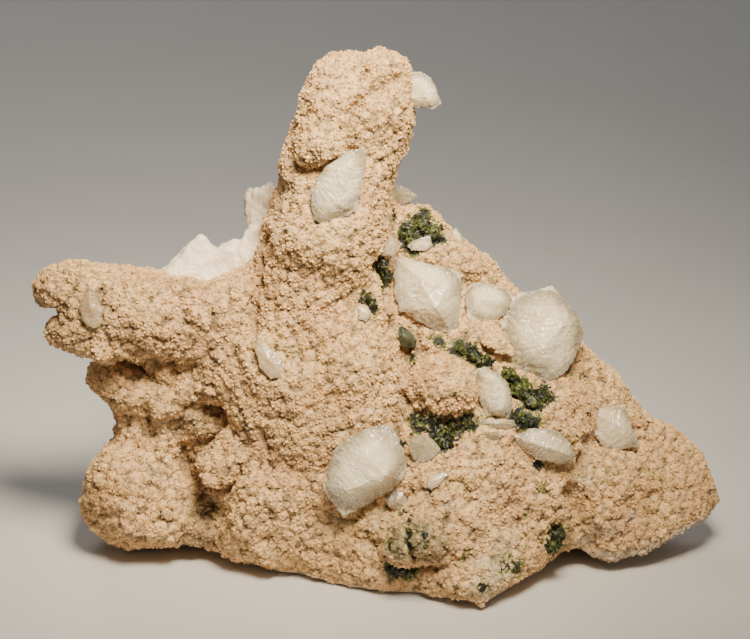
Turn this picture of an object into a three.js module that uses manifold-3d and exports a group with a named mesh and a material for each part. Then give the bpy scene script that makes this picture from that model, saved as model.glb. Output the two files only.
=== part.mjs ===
// A dolomite specimen: a spired, arm-shaped rock crusted in fine tan dolomite, with milky calcite crystals,
// small green crusts and a broken white ledge. Millimetres, +Z up, the front towards -Y, on a flat cut.
import * as THREE from "three";
import { ConvexGeometry } from "three/addons/geometries/ConvexGeometry.js";
import { mergeVertices } from "three/addons/utils/BufferGeometryUtils.js";
import Module from "manifold-3d";

const wasm = await Module();
wasm.setup();

// Driving dimensions
const WIDTH = 120; // from the arm's tip to the right lobe's tip
const SIGHT_ELEVATION = 20; // degrees: the specimen is laid out as seen from this angle above its front
const SIGHT_DISTANCE = 600;
const AIM_HEIGHT = 43.5; // the sight line passes through this height above the origin
const SKIN_STEP = new THREE.Vector3(2.9, 3.5, 2.9); // spacing of the rock's facets along each axis
const RIM_BLEND = 1.6; // how softly the rock rounds over at its outline
const GAP = 0.4; // clearance of a crystal in its socket
const FOOT_DEPTH = 3; // how far the rock is drawn below the cut before it is cut flat
const BACK_FACE = { foot: 25, lean: 10 }; // the broken back: how far behind the origin, degrees from upright

// The picture plane: it stands square to the sight line, through the aim point, and everything below that
// is given as across and up lies on it, in millimetres from the aim point.
const TILT = THREE.MathUtils.degToRad(SIGHT_ELEVATION);
const SIGHT = new THREE.Vector3(0, Math.cos(TILT), -Math.sin(TILT));
const UPWARD = new THREE.Vector3(0, Math.sin(TILT), Math.cos(TILT));
const UP = new THREE.Vector3(0, 1, 0); // the axis round which three.js draws a cone
const AIM = new THREE.Vector3(0, 0, AIM_HEIGHT);
const EYE = AIM.clone().addScaledVector(SIGHT, -SIGHT_DISTANCE);

// The ray from the eye through a point of the picture plane.
function sightRay(across, up) {
  const target = AIM.clone().addScaledVector(UPWARD, up);
  target.x += across;
  return new THREE.Ray(EYE, target.sub(EYE).normalize());
}

// The point that is seen at (across, up) and lies at the given depth behind the origin.
function seen(across, up, depth) {
  const ray = sightRay(across, up);
  return ray.at((depth - EYE.y) / ray.direction.y, new THREE.Vector3());
}

// Where a point of space is seen on the picture plane.
function onPicture(point) {
  const from = point.clone().sub(EYE);
  const scale = SIGHT_DISTANCE / from.dot(SIGHT);
  return new THREE.Vector2(from.x * scale, from.dot(UPWARD) * scale);
}

// The rock's outline as seen from the front, going round clockwise.
const OUTLINE = [
  // the spire's head and its right side
  [-10.4, 43.5], [-8.5, 45.3], [-5, 46.5], [-1.6, 45.9], [1.2, 47.2], [3.2, 47.2], [5.2, 46], [6.3, 43.5],
  [6.2, 38], [6.6, 34], [5.8, 31], [4, 27.5], [3.6, 23], [3.2, 20.2],
  // down the ridge to the right lobe's tip
  [7, 19.8], [10, 18.9], [15, 14], [20, 10.2], [23.5, 5.8], [27, 3], [30.4, -0.4], [36.4, -4.6], [42, -9.5],
  [45.4, -15.2], [48.2, -17.8], [52, -18.9], [54.2, -20.8], [57.8, -25.2], [60.4, -31], [60.8, -33.4],
  // under the right lobe and round to the foot
  [55, -35.5], [51, -37.8], [48.6, -41.2], [44.5, -41.1], [41, -41.6], [37.4, -40.8], [35.2, -38.6],
  [32.2, -40], [29.4, -42.6], [25.4, -44.5], [22.6, -46.6], [20, -49],
  // along the front of the cut base
  [16.7, -48.6], [7.8, -48.3], [-2.6, -46.8], [-13, -44.8], [-23.5, -41.7], [-31.1, -39],
  // round the lower left lobe
  [-34, -38.9], [-36.4, -39.7], [-39.5, -38.9], [-42, -39.6], [-47.4, -38.3], [-50.8, -35.6], [-51.4, -32.6],
  [-49.8, -26.2], [-46.8, -22.4], [-44, -19.6], [-45, -15.8], [-49.9, -11.2], [-50.4, -8.4], [-49, -6.6],
  // the arm: its lower lip, the notch, the hooked tip and its upper side
  [-52, -6.4], [-55.8, -4.6], [-57.8, -2.3], [-57.2, -0.2], [-54, 0.9], [-54.4, 2.8], [-58, 1.6], [-60, 5.3],
  [-57.4, 8.6], [-53.7, 10.1], [-49.6, 10.3], [-46, 9.2], [-41.7, 8.6], [-38.8, 9.1], [-34, 7.4],
  [-29.6, 6.4], [-24, 8.2], [-20.8, 10.6],
  // the spire's left side
  [-18.6, 18.4], [-16.4, 24.8], [-16.2, 28], [-14.4, 32.4], [-13.6, 35.4], [-12, 40],
];

// Each mass of rock runs from one seen place to another, [across, up, depth, radius] at either end, and is
// joined to those before it with the softness given last.
const MASSES = {
  spire: [[-4.6, 37.6, 1, 9.6], [-8.4, 16, -1, 11.4], 3],
  spire_head: [[-6.6, 40.4, 1, 6.8], [0.6, 41, 1, 7.4], 2],
  spire_side: [[1.2, 38, 1, 6.4], [0.4, 27, 0, 5.6], 2],
  trunk: [[-9.4, 12, -1, 11.8], [-9, -15, -1, 16.2], 4],
  belly: [[-13, -28, 1, 15.5], [5, -33, -3, 17], 7],
  trunk_foot: [[-11, -12, -2, 13], [-15.5, -33.5, -3, 11], 4],
  apron: [[-11, -37.5, -4, 10], [1, -40.5, -9, 10.4], 4],
  toe: [[8, -37, -8, 13], [19, -43, -17, 9.4], 5],
  slope: [[12.6, -1.4, 2, 9], [25.2, -17.5, -2, 12], 1.6],
  ridge_head: [[4.4, 14.4, 6, 6], [9, 11.6, 6, 7.4], 3],
  ridge: [[9, 11.6, 6, 7.4], [27, -4.8, 7, 8.8], 3],
  ridge_end: [[27, -4.8, 7, 8.8], [50, -25.5, 5, 7.8], 3],
  lower_slope: [[15, -27.5, -6, 14.5], [29, -31, -5, 12.5], 3],
  right_lobe: [[39.5, -29.5, 0, 11.6], [53, -29.6, 3, 7.4], 1.6],
  lobe_rim: [[40.5, -36.4, -7, 5.8], [52, -34.4, -3, 5.2], 2],
  lobe_tip: [[53, -28, 2, 5.6], [58, -31.4, 2, 2.8], 2],
  arm: [[-21.7, 0.4, 0, 9.8], [-45.5, 1.6, -2, 8.8], 2.5],
  arm_tip: [[-50, 5, -1, 6.4], [-57, 5, 1, 4.6], 1.6],
  arm_lip: [[-46, -1.8, -3, 5.8], [-54, -2.6, -1, 4.2], 1.6],
  hip: [[-25, -3.6, -1, 9], [-16.5, -8, -3, 12], 3],
  hip_lump: [[-34.4, -10.6, -3, 4.6], [-31, -11.6, -5, 4.8], 1.2],
  left_shelf: [[-46.6, -11, 4, 5.8], [-31, -16, 5, 9.5], 1.6],
  left_waist: [[-42.4, -18, 5, 6], [-32, -20, 5, 9], 2],
  knob: [[-26.6, -21.8, -8, 4], [-23.8, -26.6, -10.5, 3.8], 1],
  left_lobe: [[-42, -29.8, 1, 11], [-24, -31.6, 1, 11.6], 2],
  left_lobe_rim: [[-46.5, -32.6, -1, 6.4], [-38, -34.6, -4, 5.6], 2],
  left_foot: [[-28, -34, 3, 10], [-15, -36, -1, 12], 3],
  back_mass: [[-28, -27, 12, 12.5], [14, -22, 13, 15], 5],
  back_right: [[14, -22, 13, 15], [34, -29, 10, 11], 5],
  back_trunk: [[-12, -1.8, 7, 11], [-8, -19, 12, 15], 5],
  back_slope: [[2, 2, 8, 9], [26, -16, 10, 11.5], 6],
  coated_lump: [[4.8, -38.6, -20.4, 4.8], [10, -38.2, -21, 4.6], 0.8],
  lump_by_toe: [[13.4, -33.6, -18.6, 3.6], [17, -36.4, -20, 3.4], 1],
  cushion: [[10.6, -11.4, -7.5, 6], [13, -12.8, -8.5, 6.2], 0.8],
};

// Hollows worn into the masses, laid out in the same way.
const HOLLOWS = {
  left_recess: [[-31, -16.5, -9, 3.6], [-29.6, -26, -12, 3.6], 2],
  over_knob: [[-27.4, -15.6, -10.5, 2.8], [-21.4, -21.2, -15, 2.6], 1],
  beside_knob: [[-20.6, -22, -15.5, 2.2], [-20.4, -30, -15.5, 2], 1.5],
  left_valley: [[-29.6, -26, -12.5, 3.4], [-28.6, -38, -15, 3.4], 2],
  arm_crack: [[-20.8, 12, -11, 2.6], [-20, -2, -14.5, 2.2], 1.5],
  lobe_crack: [[35.6, -29, -15, 2.4], [36.4, -40, -13, 3], 1.5],
  under_arm: [[-44, -8.4, -11, 2.6], [-33, -7.6, -12, 1.6], 1.5],
  under_lump: [[2.6, -43.6, -26, 1.8], [14, -42.4, -27.5, 1.8], 1],
  beside_trunk: [[4.4, 9, -8, 2.4], [8.4, -4.4, -12.5, 2], 1],
  above_toe: [[14, -21, -19.5, 3], [4.5, -18.4, -18.5, 2.6], 1.5],
};

// Low swellings of the rock under its crust of grains: [wavelength, height].
const SWELLINGS = [[13, 1.5], [7, 1.5]];

// A repeatable random value from 0 to 1 for a point of the whole-number lattice.
function latticeValue(x, y, z) {
  let h = Math.imul(x, 374761393) ^ Math.imul(y, 668265263) ^ Math.imul(z, 2147483647 - 1274126177);
  h = Math.imul(h ^ (h >>> 13), 1274126177);
  return ((h ^ (h >>> 16)) >>> 0) / 4294967295;
}

// Smooth noise from -1 to 1.
function smoothNoise(x, y, z) {
  const [i, j, k] = [Math.floor(x), Math.floor(y), Math.floor(z)];
  const ease = (t) => t * t * (3 - 2 * t);
  const [u, v, w] = [ease(x - i), ease(y - j), ease(z - k)];
  const mix = THREE.MathUtils.lerp;
  const row = (b, c) => mix(latticeValue(i, b, c), latticeValue(i + 1, b, c), u);
  const layer = (c) => mix(row(j, c), row(j + 1, c), v);
  return 2 * mix(layer(k), layer(k + 1), w) - 1;
}

function swelling(p) {
  return SWELLINGS.reduce((sum, [size, height]) => {
    return sum + height * smoothNoise(p.x / size, p.y / size, p.z / size);
  }, 0);
}

// Two distances joined with a rounded corner: the lesser, or with a negative softness the greater.
function blend(a, b, softness) {
  const h = Math.max(Math.abs(softness) - Math.abs(a - b), 0) / Math.abs(softness);
  const round = (h * h * Math.abs(softness)) / 4;
  return softness > 0 ? Math.min(a, b) - round : Math.max(a, b) + round;
}

// A tapered round bar between two seen places.
function bar([first, last, softness]) {
  const [start, end] = [first, last].map(([across, up, depth]) => seen(across, up, depth));
  return { start, along: end.sub(start), radii: [first[3], last[3]], softness };
}

const masses = Object.values(MASSES).map(bar);
const hollows = Object.values(HOLLOWS).map(bar);
const lean = THREE.MathUtils.degToRad(BACK_FACE.lean);
const backward = new THREE.Vector3(0, Math.cos(lean), Math.sin(lean));
const BACK = new THREE.Plane(backward, -BACK_FACE.foot * Math.cos(lean));

function barDistance(p, { start, along, radii }) {
  const from = p.clone().sub(start);
  const t = THREE.MathUtils.clamp(from.dot(along) / along.lengthSq(), 0, 1);
  return from.addScaledVector(along, -t).length() - THREE.MathUtils.lerp(radii[0], radii[1], t);
}

// Signed distance on the picture plane to the outline, negative inside it.
function outlineDistance({ x, y }) {
  let nearest = Infinity;
  let inside = false;
  OUTLINE.forEach(([ax, ay], i) => {
    const [bx, by] = OUTLINE[(i + 1) % OUTLINE.length];
    const [dx, dy] = [bx - ax, by - ay];
    const t = THREE.MathUtils.clamp(((x - ax) * dx + (y - ay) * dy) / (dx * dx + dy * dy), 0, 1);
    nearest = Math.min(nearest, Math.hypot(x - ax - t * dx, y - ay - t * dy));
    if (ay > y !== by > y && x < ax + ((y - ay) * dx) / dy) inside = !inside;
  });
  return inside ? -nearest : nearest;
}

// The rock as a distance field: its masses with their hollows and swellings, kept inside the outline, in
// front of its broken back and above its foot.
function rockField(p) {
  const whole = masses.reduce((d, mass) => blend(d, barDistance(p, mass), mass.softness), 100);
  const worn = hollows.reduce((d, hollow) => blend(d, -barDistance(p, hollow), -hollow.softness), whole);
  const trimmed = blend(worn - swelling(p), outlineDistance(onPicture(p)), -RIM_BLEND);
  const broken = blend(trimmed, BACK.distanceToPoint(p) - 0.4 * swelling(p), -1.2);
  return Math.max(broken, -FOOT_DEPTH - p.z);
}

// A lattice cell's twelve edges as pairs of corners, a corner being one bit each for x, y and z, and its six
// faces as the numbers of their edges.
const CELL_EDGES = [1, 2, 4].flatMap((axis) => {
  const starts = [0, 1, 2, 3, 4, 5, 6, 7].filter((corner) => !(corner & axis));
  return starts.map((corner) => [corner, corner | axis]);
});
const CELL_FACES = [1, 2, 4].flatMap((axis) => [0, axis].map((side) => {
  return CELL_EDGES.flatMap((edge, n) => (edge.every((corner) => (corner & axis) === side) ? [n] : []));
}));

// Sorts a cell's crossed edges into the separate sheets of skin that pass through the cell.
function sheetsOf(insides) {
  const crossed = CELL_EDGES.flatMap(([p, q], n) => (insides[p] === insides[q] ? [] : [n]));
  const sheetAt = new Map(crossed.map((n) => [n, [n]]));
  const join = (m, n) => {
    if (sheetAt.get(m) === sheetAt.get(n)) return;
    sheetAt.get(m).push(...sheetAt.get(n));
    sheetAt.get(n).forEach((member) => sheetAt.set(member, sheetAt.get(m)));
  };
  const solidCorner = (n) => CELL_EDGES[n].find((corner) => insides[corner]);
  for (const face of CELL_FACES) {
    const cut = face.filter((n) => sheetAt.has(n));
    if (cut.length === 2) join(...cut);
    if (cut.length < 4) continue;
    cut.forEach((m) => cut.filter((n) => solidCorner(n) === solidCorner(m)).forEach((n) => join(m, n)));
  }
  return new Set(sheetAt.values());
}

// One closed skin of facets round the space where a field is below zero. Each sheet of it in a lattice cell
// holds one vertex, and each lattice edge that it crosses gives two facets.
function skinOf(field, low, high, step) {
  const count = high.clone().sub(low).divide(step).ceil().addScalar(1).toArray();
  const at = (i, j, k) => i + count[0] * (j + count[1] * k);
  const place = (i, j, k) => new THREE.Vector3(i, j, k).multiply(step).add(low);
  const cornerOf = (i, j, k, bits) => [i + (bits & 1), j + ((bits >> 1) & 1), k + (bits >> 2)];
  const values = new Float64Array(count[0] * count[1] * count[2]);
  const visitCells = (visit, margin) => {
    for (let k = margin; k < count[2] - margin; k++) {
      for (let j = margin; j < count[1] - margin; j++) {
        for (let i = margin; i < count[0] - margin; i++) visit(i, j, k);
      }
    }
  };
  visitCells((i, j, k) => (values[at(i, j, k)] = field(place(i, j, k))), 0);

  const vertices = [];
  const vertexOf = new Map();
  visitCells((i, j, k) => {
    const corners = CELL_EDGES.flat().map((bits) => cornerOf(i, j, k, bits));
    const levels = [0, 1, 2, 3, 4, 5, 6, 7].map((bits) => values[at(...cornerOf(i, j, k, bits))]);
    for (const sheet of sheetsOf(levels.map((level) => level < 0))) {
      const middle = new THREE.Vector3();
      for (const n of sheet) {
        const [a, b] = CELL_EDGES[n].map((bits) => levels[bits]);
        const start = place(...corners[2 * n]);
        middle.addScaledVector(start.lerp(place(...corners[2 * n + 1]), a / (a - b)), 1 / sheet.length);
        vertexOf.set(12 * at(i, j, k) + n, vertices.length);
      }
      vertices.push(settle(field, middle, 0.3 * step.x));
    }
  }, 1);

  const triangles = [];
  visitCells((i, j, k) => {
    [1, 2, 4].forEach((axis, turn) => {
      const inside = values[at(i, j, k)] < 0;
      if (inside === values[at(...cornerOf(i, j, k, axis))] < 0) return;
      const [u, v] = turn === 0 ? [2, 4] : turn === 1 ? [4, 1] : [1, 2];
      const ring = [0, u, u | v, v].map((bits) => {
        const edge = CELL_EDGES.findIndex(([p, q]) => p === bits && q === (bits | axis));
        return vertexOf.get(12 * at(...cornerOf(i, j, k, bits).map((c, n) => 2 * [i, j, k][n] - c)) + edge);
      });
      if (!inside) ring.reverse();
      const [a, b, c, d] = ring.map((index) => vertices[index]);
      const order = a.distanceTo(c) < b.distanceTo(d) ? [0, 1, 2, 0, 2, 3] : [1, 2, 3, 1, 3, 0];
      triangles.push(...order.map((o) => ring[o]));
    });
  }, 1);
  return new THREE.BufferGeometry().setFromPoints(vertices).setIndex(triangles);
}

// Moves a vertex onto the field's surface, by no more than its reach.
function settle(field, vertex, reach) {
  const probe = 0.2;
  const start = vertex.clone();
  for (let turn = 0; turn < 3; turn++) {
    const slope = new THREE.Vector3(...["x", "y", "z"].map((k) => {
      const [ahead, behind] = [vertex.clone(), vertex.clone()];
      ahead[k] += probe;
      behind[k] -= probe;
      return (field(ahead) - field(behind)) / (2 * probe);
    }));
    vertex.addScaledVector(slope, -field(vertex) / Math.max(slope.lengthSq(), 0.25));
  }
  return vertex.sub(start).clampLength(0, reach).add(start);
}

// A three.js geometry as a solid that can be cut and joined, and back.
function solidOf(geometry) {
  const bare = new THREE.BufferGeometry().setAttribute("position", geometry.getAttribute("position"));
  const merged = mergeVertices(bare.setIndex(geometry.index), 1e-4);
  return new wasm.Manifold(new wasm.Mesh({
    numProp: 3,
    vertProperties: new Float32Array(merged.attributes.position.array),
    triVerts: new Uint32Array(merged.index.array),
  }));
}

function geometryOf(solid) {
  const { numProp, vertProperties, triVerts, numVert } = solid.getMesh();
  const positions = new Float32Array(numVert * 3);
  for (let i = 0; i < numVert; i++) {
    positions.set(vertProperties.subarray(i * numProp, i * numProp + 3), i * 3);
  }
  const indexed = new THREE.BufferGeometry()
    .setAttribute("position", new THREE.BufferAttribute(positions, 3))
    .setIndex(new THREE.BufferAttribute(triVerts, 1));
  const faceted = indexed.toNonIndexed();
  faceted.computeVertexNormals();
  return faceted;
}

// The largest of a solid's separate bodies.
function mainBody(solid) {
  return solid.decompose().sort((a, b) => b.volume() - a.volume())[0];
}

// Where the rock is first met along the sight line at (across, up), or null past its outline.
function onRock(across, up) {
  const ray = sightRay(across, up);
  const point = new THREE.Vector3();
  const [near, far] = [SIGHT_DISTANCE - 60, SIGHT_DISTANCE + 60];
  for (let t = near; t < far; t += 0.25) {
    if (rockField(ray.at(t, point)) < 0) return point;
  }
  return null;
}

// The rock's outward direction round a point, taken over a few millimetres.
function outward(point, reach = 3) {
  return new THREE.Vector3(...["x", "y", "z"].map((k) => {
    const [ahead, behind] = [point.clone(), point.clone()];
    ahead[k] += reach;
    behind[k] -= reach;
    return rockField(ahead) - rockField(behind);
  })).normalize();
}

// The calcite crystals. Each is a flat-faced solid round a rim that is seen as drawn here. rim and crown are
// [across, up] points, rise is the crown's height over the rim's plane, root the depth below it, lift the
// rim's height over the rock, and turn, from 0 to 1, how far the rim turns from the rock's slope to the
// viewer.
const CRYSTALS = {
  calcite_spire_top: {
    rim: [[3.6, 41.6], [6.1, 43], [7.8, 43.2], [9.6, 42], [10.6, 40.4], [11.4, 37.5], [10.1, 36.6],
      [7.3, 36.9], [3.6, 38]],
    crown: [[7.6, 41], [8.6, 38.6]], rise: 1.9, root: 2.2, depth: -1, turn: 1,
  },
  calcite_spire_face: {
    rim: [[-4.5, 29.4], [-2, 29.9], [-1.5, 28.1], [-2.4, 23.6], [-3.3, 18.8], [-8.7, 16.5], [-10.5, 17.3],
      [-11.2, 19.2], [-10.9, 22.5], [-9, 26]],
    crown: [[-5, 26.5], [-6.4, 20.5]], rise: 2.2, root: 2.6, lift: 1.1, turn: 0.4,
  },
  calcite_behind_spire: {
    rim: [[1.6, 22.4], [3.1, 23.5], [4.5, 23.4], [6.1, 22.5], [7.4, 21.5], [5.9, 20.5], [4.5, 20],
      [1.8, 20.2]],
    crown: [[4.2, 21.9]], rise: 1, root: 1.2, depth: 8, turn: 1,
  },
  calcite_spire_foot: {
    rim: [[0.7, 15.7], [2.6, 15], [4.2, 13], [3.4, 11], [1.1, 11.2]],
    crown: [[2.3, 13]], rise: 0.8, root: 1.6, lift: 0.5, turn: 0.6,
  },
  calcite_upper_slope: {
    rim: [[3.1, 10.9], [4.5, 11.7], [13.4, 9], [14.9, 7.6], [15.1, 5.1], [14.5, -0.6], [13.4, -2.3],
      [10.1, -1.8], [4.7, 1.4], [3.4, 3.7]],
    crown: [[7.2, 7.4], [10.6, 1.6], [12.6, 4.8]], rise: 3.4, root: 4.4, lift: 1.8, turn: 0.5,
  },
  calcite_middle_slope: {
    rim: [[15.6, 4.9], [16.7, 6.2], [18.6, 6.5], [20.7, 6], [23.3, 5], [24, 3.7], [23.4, 1.2], [21.4, 0.1],
      [18.6, -0.6], [16, 0.3]],
    crown: [[18.2, 3], [21.4, 2.9]], rise: 2, root: 3, lift: 1.2, turn: 0.5,
  },
  calcite_large_slope: {
    rim: [[24.6, 4.4], [30.7, 5.9], [34.4, 1.9], [36.2, -0.9], [36.3, -2.6], [35.1, -5.9], [33.2, -9.2],
      [30.3, -10.8], [27, -10], [24.3, -8.2], [22, -1], [22.8, 2.2]],
    crown: [[27.4, 0.8], [28.4, -5.6], [31.6, -1.6]], rise: 4, root: 5, lift: 2.2, turn: 0.5,
  },
  calcite_blade: {
    rim: [[17, -9.1], [17.9, -8.5], [19.7, -8.3], [21.8, -9.5], [23.1, -11.2], [23.9, -13.9], [23.8, -15.5],
      [23.1, -17.1], [19.3, -16.8], [18.2, -14]],
    crown: [[20.2, -10.4], [21.4, -15.4]], rise: 2.2, root: 2.8, lift: 1.4, turn: 0.6,
  },
  calcite_blade_foot: {
    rim: [[18, -17.4], [18.6, -18.3], [20.5, -18.8], [22.9, -19], [24.5, -18.5], [24.1, -17.4], [22, -17.8]],
    crown: [[19.8, -18.2], [23.4, -18.2]], rise: 0.8, root: 2, lift: 0.4, turn: 0.6,
  },
  calcite_lens: {
    rim: [[24.1, -20.3], [27, -19.2], [30.3, -18.9], [32.2, -19.6], [34, -21.8], [35.1, -23.8],
      [34.4, -24.7], [31.8, -25.1], [28.9, -24.6], [26.2, -23.2]],
    crown: [[27.6, -21.2], [32.4, -22.8]], rise: 1.9, root: 2.6, lift: 1.2, turn: 0.5,
  },
  calcite_rhomb: {
    rim: [[35.9, -15.7], [39.1, -15.2], [43.1, -15], [44.4, -17.5], [46, -22.1], [43, -22.5], [40, -22.7],
      [38, -19.6]],
    crown: [[39.8, -17.2], [43, -20.2]], rise: 1.5, root: 3, lift: 1.9, turn: 0.6,
  },
  calcite_large_front: {
    rim: [[-6.8, -22.3], [-4.3, -20.3], [-1.2, -19], [1.6, -18.2], [3.1, -18.9], [5.1, -23.2], [5.5, -25.8],
[4.7, -27.9], [1.5, -30.5], [-5.2, -34.1], [-7.3, -32.2], [-9.1, -28.8], [-8.2, -25.8]],
    crown: [[-1.4, -23], [-4.6, -28.6], [1.6, -26.2]], rise: 4, root: 5, lift: 2.2, turn: 0.45,
  },
  calcite_chip: {
    rim: [[1.8, -31.2], [3.9, -29.3], [5.1, -30.2], [6.2, -32.9], [4, -33.1], [2.3, -32.5]],
    crown: [[4, -31.6]], rise: 0.8, root: 1.8, lift: 0.6, turn: 0.5,
  },
  calcite_button: {
    rim: [[5.9, -22.4], [6, -21], [7.1, -20.1], [9.2, -20.2], [10.3, -21], [11.4, -22.6], [10.1, -24],
      [8.2, -24.9], [6.6, -24.3]],
    crown: [[8.4, -22]], rise: 1.5, root: 2.2, lift: 0.8, turn: 0.5,
  },
  calcite_cream_grain: {
    rim: [[8.8, -29], [9.2, -27.2], [11.8, -26.5], [12.6, -27], [11.3, -28.7], [9.7, -29.6]],
    crown: [[10.4, -28]], rise: 0.7, root: 1.6, lift: 0.5, turn: 0.5,
  },
  calcite_arm_plate: {
    rim: [[-51.4, 2.2], [-50.4, 5], [-49.7, 5.9], [-48.2, 4.1], [-47.4, 1.3], [-47.8, -1.1], [-49, -1.6],
      [-50.7, -0.3]],
    crown: [[-49.4, 2.4]], rise: 0.6, root: 1.8, lift: 0.4, turn: 0.3,
  },
  calcite_cheek_plate: {
    rim: [[-21, -4.8], [-20.2, -3.3], [-18.4, -4.7], [-17, -6.6], [-14.9, -8.4], [-15.4, -9.9],
      [-18.1, -10.3], [-19.9, -8.4]],
    crown: [[-18.4, -7.2]], rise: 0.7, root: 1.8, lift: 0.4, turn: 0.4,
  },
  calcite_twin_grains: {
    rim: [[-3, 1.8], [-2.3, 2.7], [-1.2, 2.3], [-0.6, 0.8], [-1.6, -0.5], [-2.7, 0.1]],
    crown: [[-1.8, 1.2]], rise: 0.6, root: 1.4, lift: 0.5, turn: 0.5,
  },
  calcite_ridge_chip: {
    rim: [[12.9, 15.2], [14.1, 16], [15.2, 14.3], [15.6, 13], [14.1, 13.1]],
    crown: [[14.2, 14.6]], rise: 0.7, root: 1.2, depth: 3.5, turn: 0.8,
  },
  calcite_sprig: {
    rim: [[5.7, 12.8], [6.6, 13.8], [8.4, 13.6], [9.6, 14.6], [10, 12.8], [8.9, 11.9], [6.3, 12]],
    crown: [[8.2, 13]], rise: 1, root: 1.8, lift: 0.7, turn: 0.6,
  },
  calcite_clear_bead: {
    rim: [[19, -20.6], [19.5, -19.6], [21.4, -19.4], [22, -20.4], [20.6, -21.2]],
    crown: [[20.4, -20.2]], rise: 1, root: 1.6, lift: 0.5, turn: 0.6,
  },
  dark_crystal: {
    rim: [[3, -2], [4.7, -1.1], [6.3, -2.2], [7.3, -3.6], [7, -5], [5.7, -5.1], [3.8, -4.3]],
    crown: [[5, -2.8]], rise: 1.4, root: 2.2, lift: 1.1, turn: 0.5,
  },
};

// The rim's plane of a crystal, as a point on it and its outward direction.
function seat({ rim, lift = 0, depth, turn }) {
  const [across, up] = [0, 1].map((n) => rim.reduce((sum, p) => sum + p[n], 0) / rim.length);
  const foot = depth === undefined ? onRock(across, up) : seen(across, up, depth);
  const facing = outward(foot).lerp(SIGHT.clone().negate(), turn).normalize();
  return new THREE.Plane().setFromNormalAndCoplanarPoint(facing, foot.addScaledVector(facing, lift));
}

// A crystal's corners, each pushed away from its middle by the margin.
function crystalCorners(shape, margin = 0) {
  const plane = seat(shape);
  const onPlane = ([across, up]) => sightRay(across, up).intersectPlane(plane, new THREE.Vector3());
  const rim = shape.rim.map(onPlane);
  const middle = rim.reduce((sum, p) => sum.add(p), new THREE.Vector3()).divideScalar(rim.length);
  const crown = shape.crown.map((p) => onPlane(p).addScaledVector(plane.normal, shape.rise));
  const root = shape.crown.map((p) => onPlane(p).addScaledVector(plane.normal, -shape.root));
  return [...rim, ...crown, ...root].map((p) => p.add(p.clone().sub(middle).setLength(margin)));
}

// The green crusts: low tufts of small crystals at [across, up, radius], each run grown together into one.
const CRUSTS = {
  green_crust_upper: [[5.8, 15, 2.4], [7.8, 16.6, 2.5], [9.9, 14.6, 2.3], [6.6, 13.2, 2.2]],
  green_crust_crevice: [[1.4, 9.4, 1.9], [2, 7.2, 2.1], [2, 4.8, 1.9]],
  green_crust_beads: [[-1.6, 3.8, 1.3], [-0.6, 2.4, 1.4]],
  green_crust_band: [[15, -5, 1.8], [17, -6, 2.1], [19.2, -7.4, 2]],
  green_crust_right: [[23.4, -9.4, 2], [25, -12, 2.5], [27.4, -14, 2.5], [29.2, -13.2, 2.2]],
  green_crust_under_blade: [[25, -17, 1.9], [27, -18, 1.7]],
  green_crust_hollow: [
    [8, -18.4, 2.2], [9.8, -18.8, 2.4], [12, -21, 2.7], [13.6, -18.8, 2.4], [16.2, -17.8, 2],
  ],
  green_crust_edge: [[32, -37.6, 1.9], [31.2, -39.2, 2]],
  green_crust_under_lump: [[3.6, -43.4, 1.6], [5.6, -43.8, 1.6]],
};
const TUFT_HEIGHT = 0.7; // a tuft's thickness as a share of its width

// A run of tufts as one solid, each tuft larger by the margin.
function crustSolid(run, margin = 0) {
  const tufts = run.map(([across, up, radius], n) => {
    const middle = onRock(across, up);
    const tuft = new THREE.OctahedronGeometry(1, 0).rotateZ(n * 0.6).rotateX(0.4 + n * 0.3);
    tuft.scale(radius + margin, radius + margin, TUFT_HEIGHT * radius + margin);
    tuft.lookAt(outward(middle, 1.5));
    return solidOf(tuft.translate(middle.x, middle.y, middle.z));
  });
  return tufts.reduce((whole, tuft) => whole.add(tuft));
}

// The broken white ledge: two jagged plates that stand behind the crust, seen as drawn here.
const LEDGE_PLATES = [
  { // the bright lower plate
    edge: [[-37, 8.6], [-33.9, 11.3], [-30.2, 14.6], [-28.6, 12.8], [-27.6, 12.2], [-24.3, 13.7],
      [-22, 13.6], [-19.6, 14.2], [-17, 11], [-19, 6], [-27, 3], [-35, 5]],
    depth: 1.5, thick: 6,
  },
  { // the shaded upper fin
    edge: [[-23.2, 13.6], [-21.6, 16.6], [-22.4, 17.9], [-21.9, 18.9], [-22.6, 20.3], [-22.3, 21.8],
      [-19.8, 23.3], [-17.8, 22.9], [-15.6, 20.6], [-14, 15], [-18.6, 9.6], [-22, 10.6]],
    depth: 3.5, thick: 4,
  },
];
const LEDGE_CHAMFER = 0.7;

// One plate with chipped rims, grown by the margin on every side.
function plateSolid({ edge, depth, thick }, margin = 0) {
  const middle = edge.reduce(([x, y], [a, b]) => [x + a / edge.length, y + b / edge.length], [0, 0]);
  const centre = seen(...middle, depth + thick / 2);
  const shape = new THREE.Shape(edge.map(([a, b]) => new THREE.Vector2(a - middle[0], b - middle[1])));
  const bevel = LEDGE_CHAMFER + margin;
  const plate = new THREE.ExtrudeGeometry(shape, {
    depth: thick - 2 * LEDGE_CHAMFER,
    bevelThickness: bevel,
    bevelSize: bevel,
    bevelOffset: -LEDGE_CHAMFER,
    bevelSegments: 1,
    steps: 1,
  });
  plate.translate(0, 0, LEDGE_CHAMFER - thick / 2);
  const towardsViewer = SIGHT.clone().negate();
  plate.applyMatrix4(new THREE.Matrix4().makeBasis(new THREE.Vector3(1, 0, 0), UPWARD, towardsViewer));
  return solidOf(plate.translate(centre.x, centre.y, centre.z));
}

// The small tooth that hangs from the front of the foot down to the cut.
const TOOTH = { root: [18, -45.4, -23], tip: [18.7, -51.2, -27.8], radius: 2.8, facets: 6 };

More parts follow.
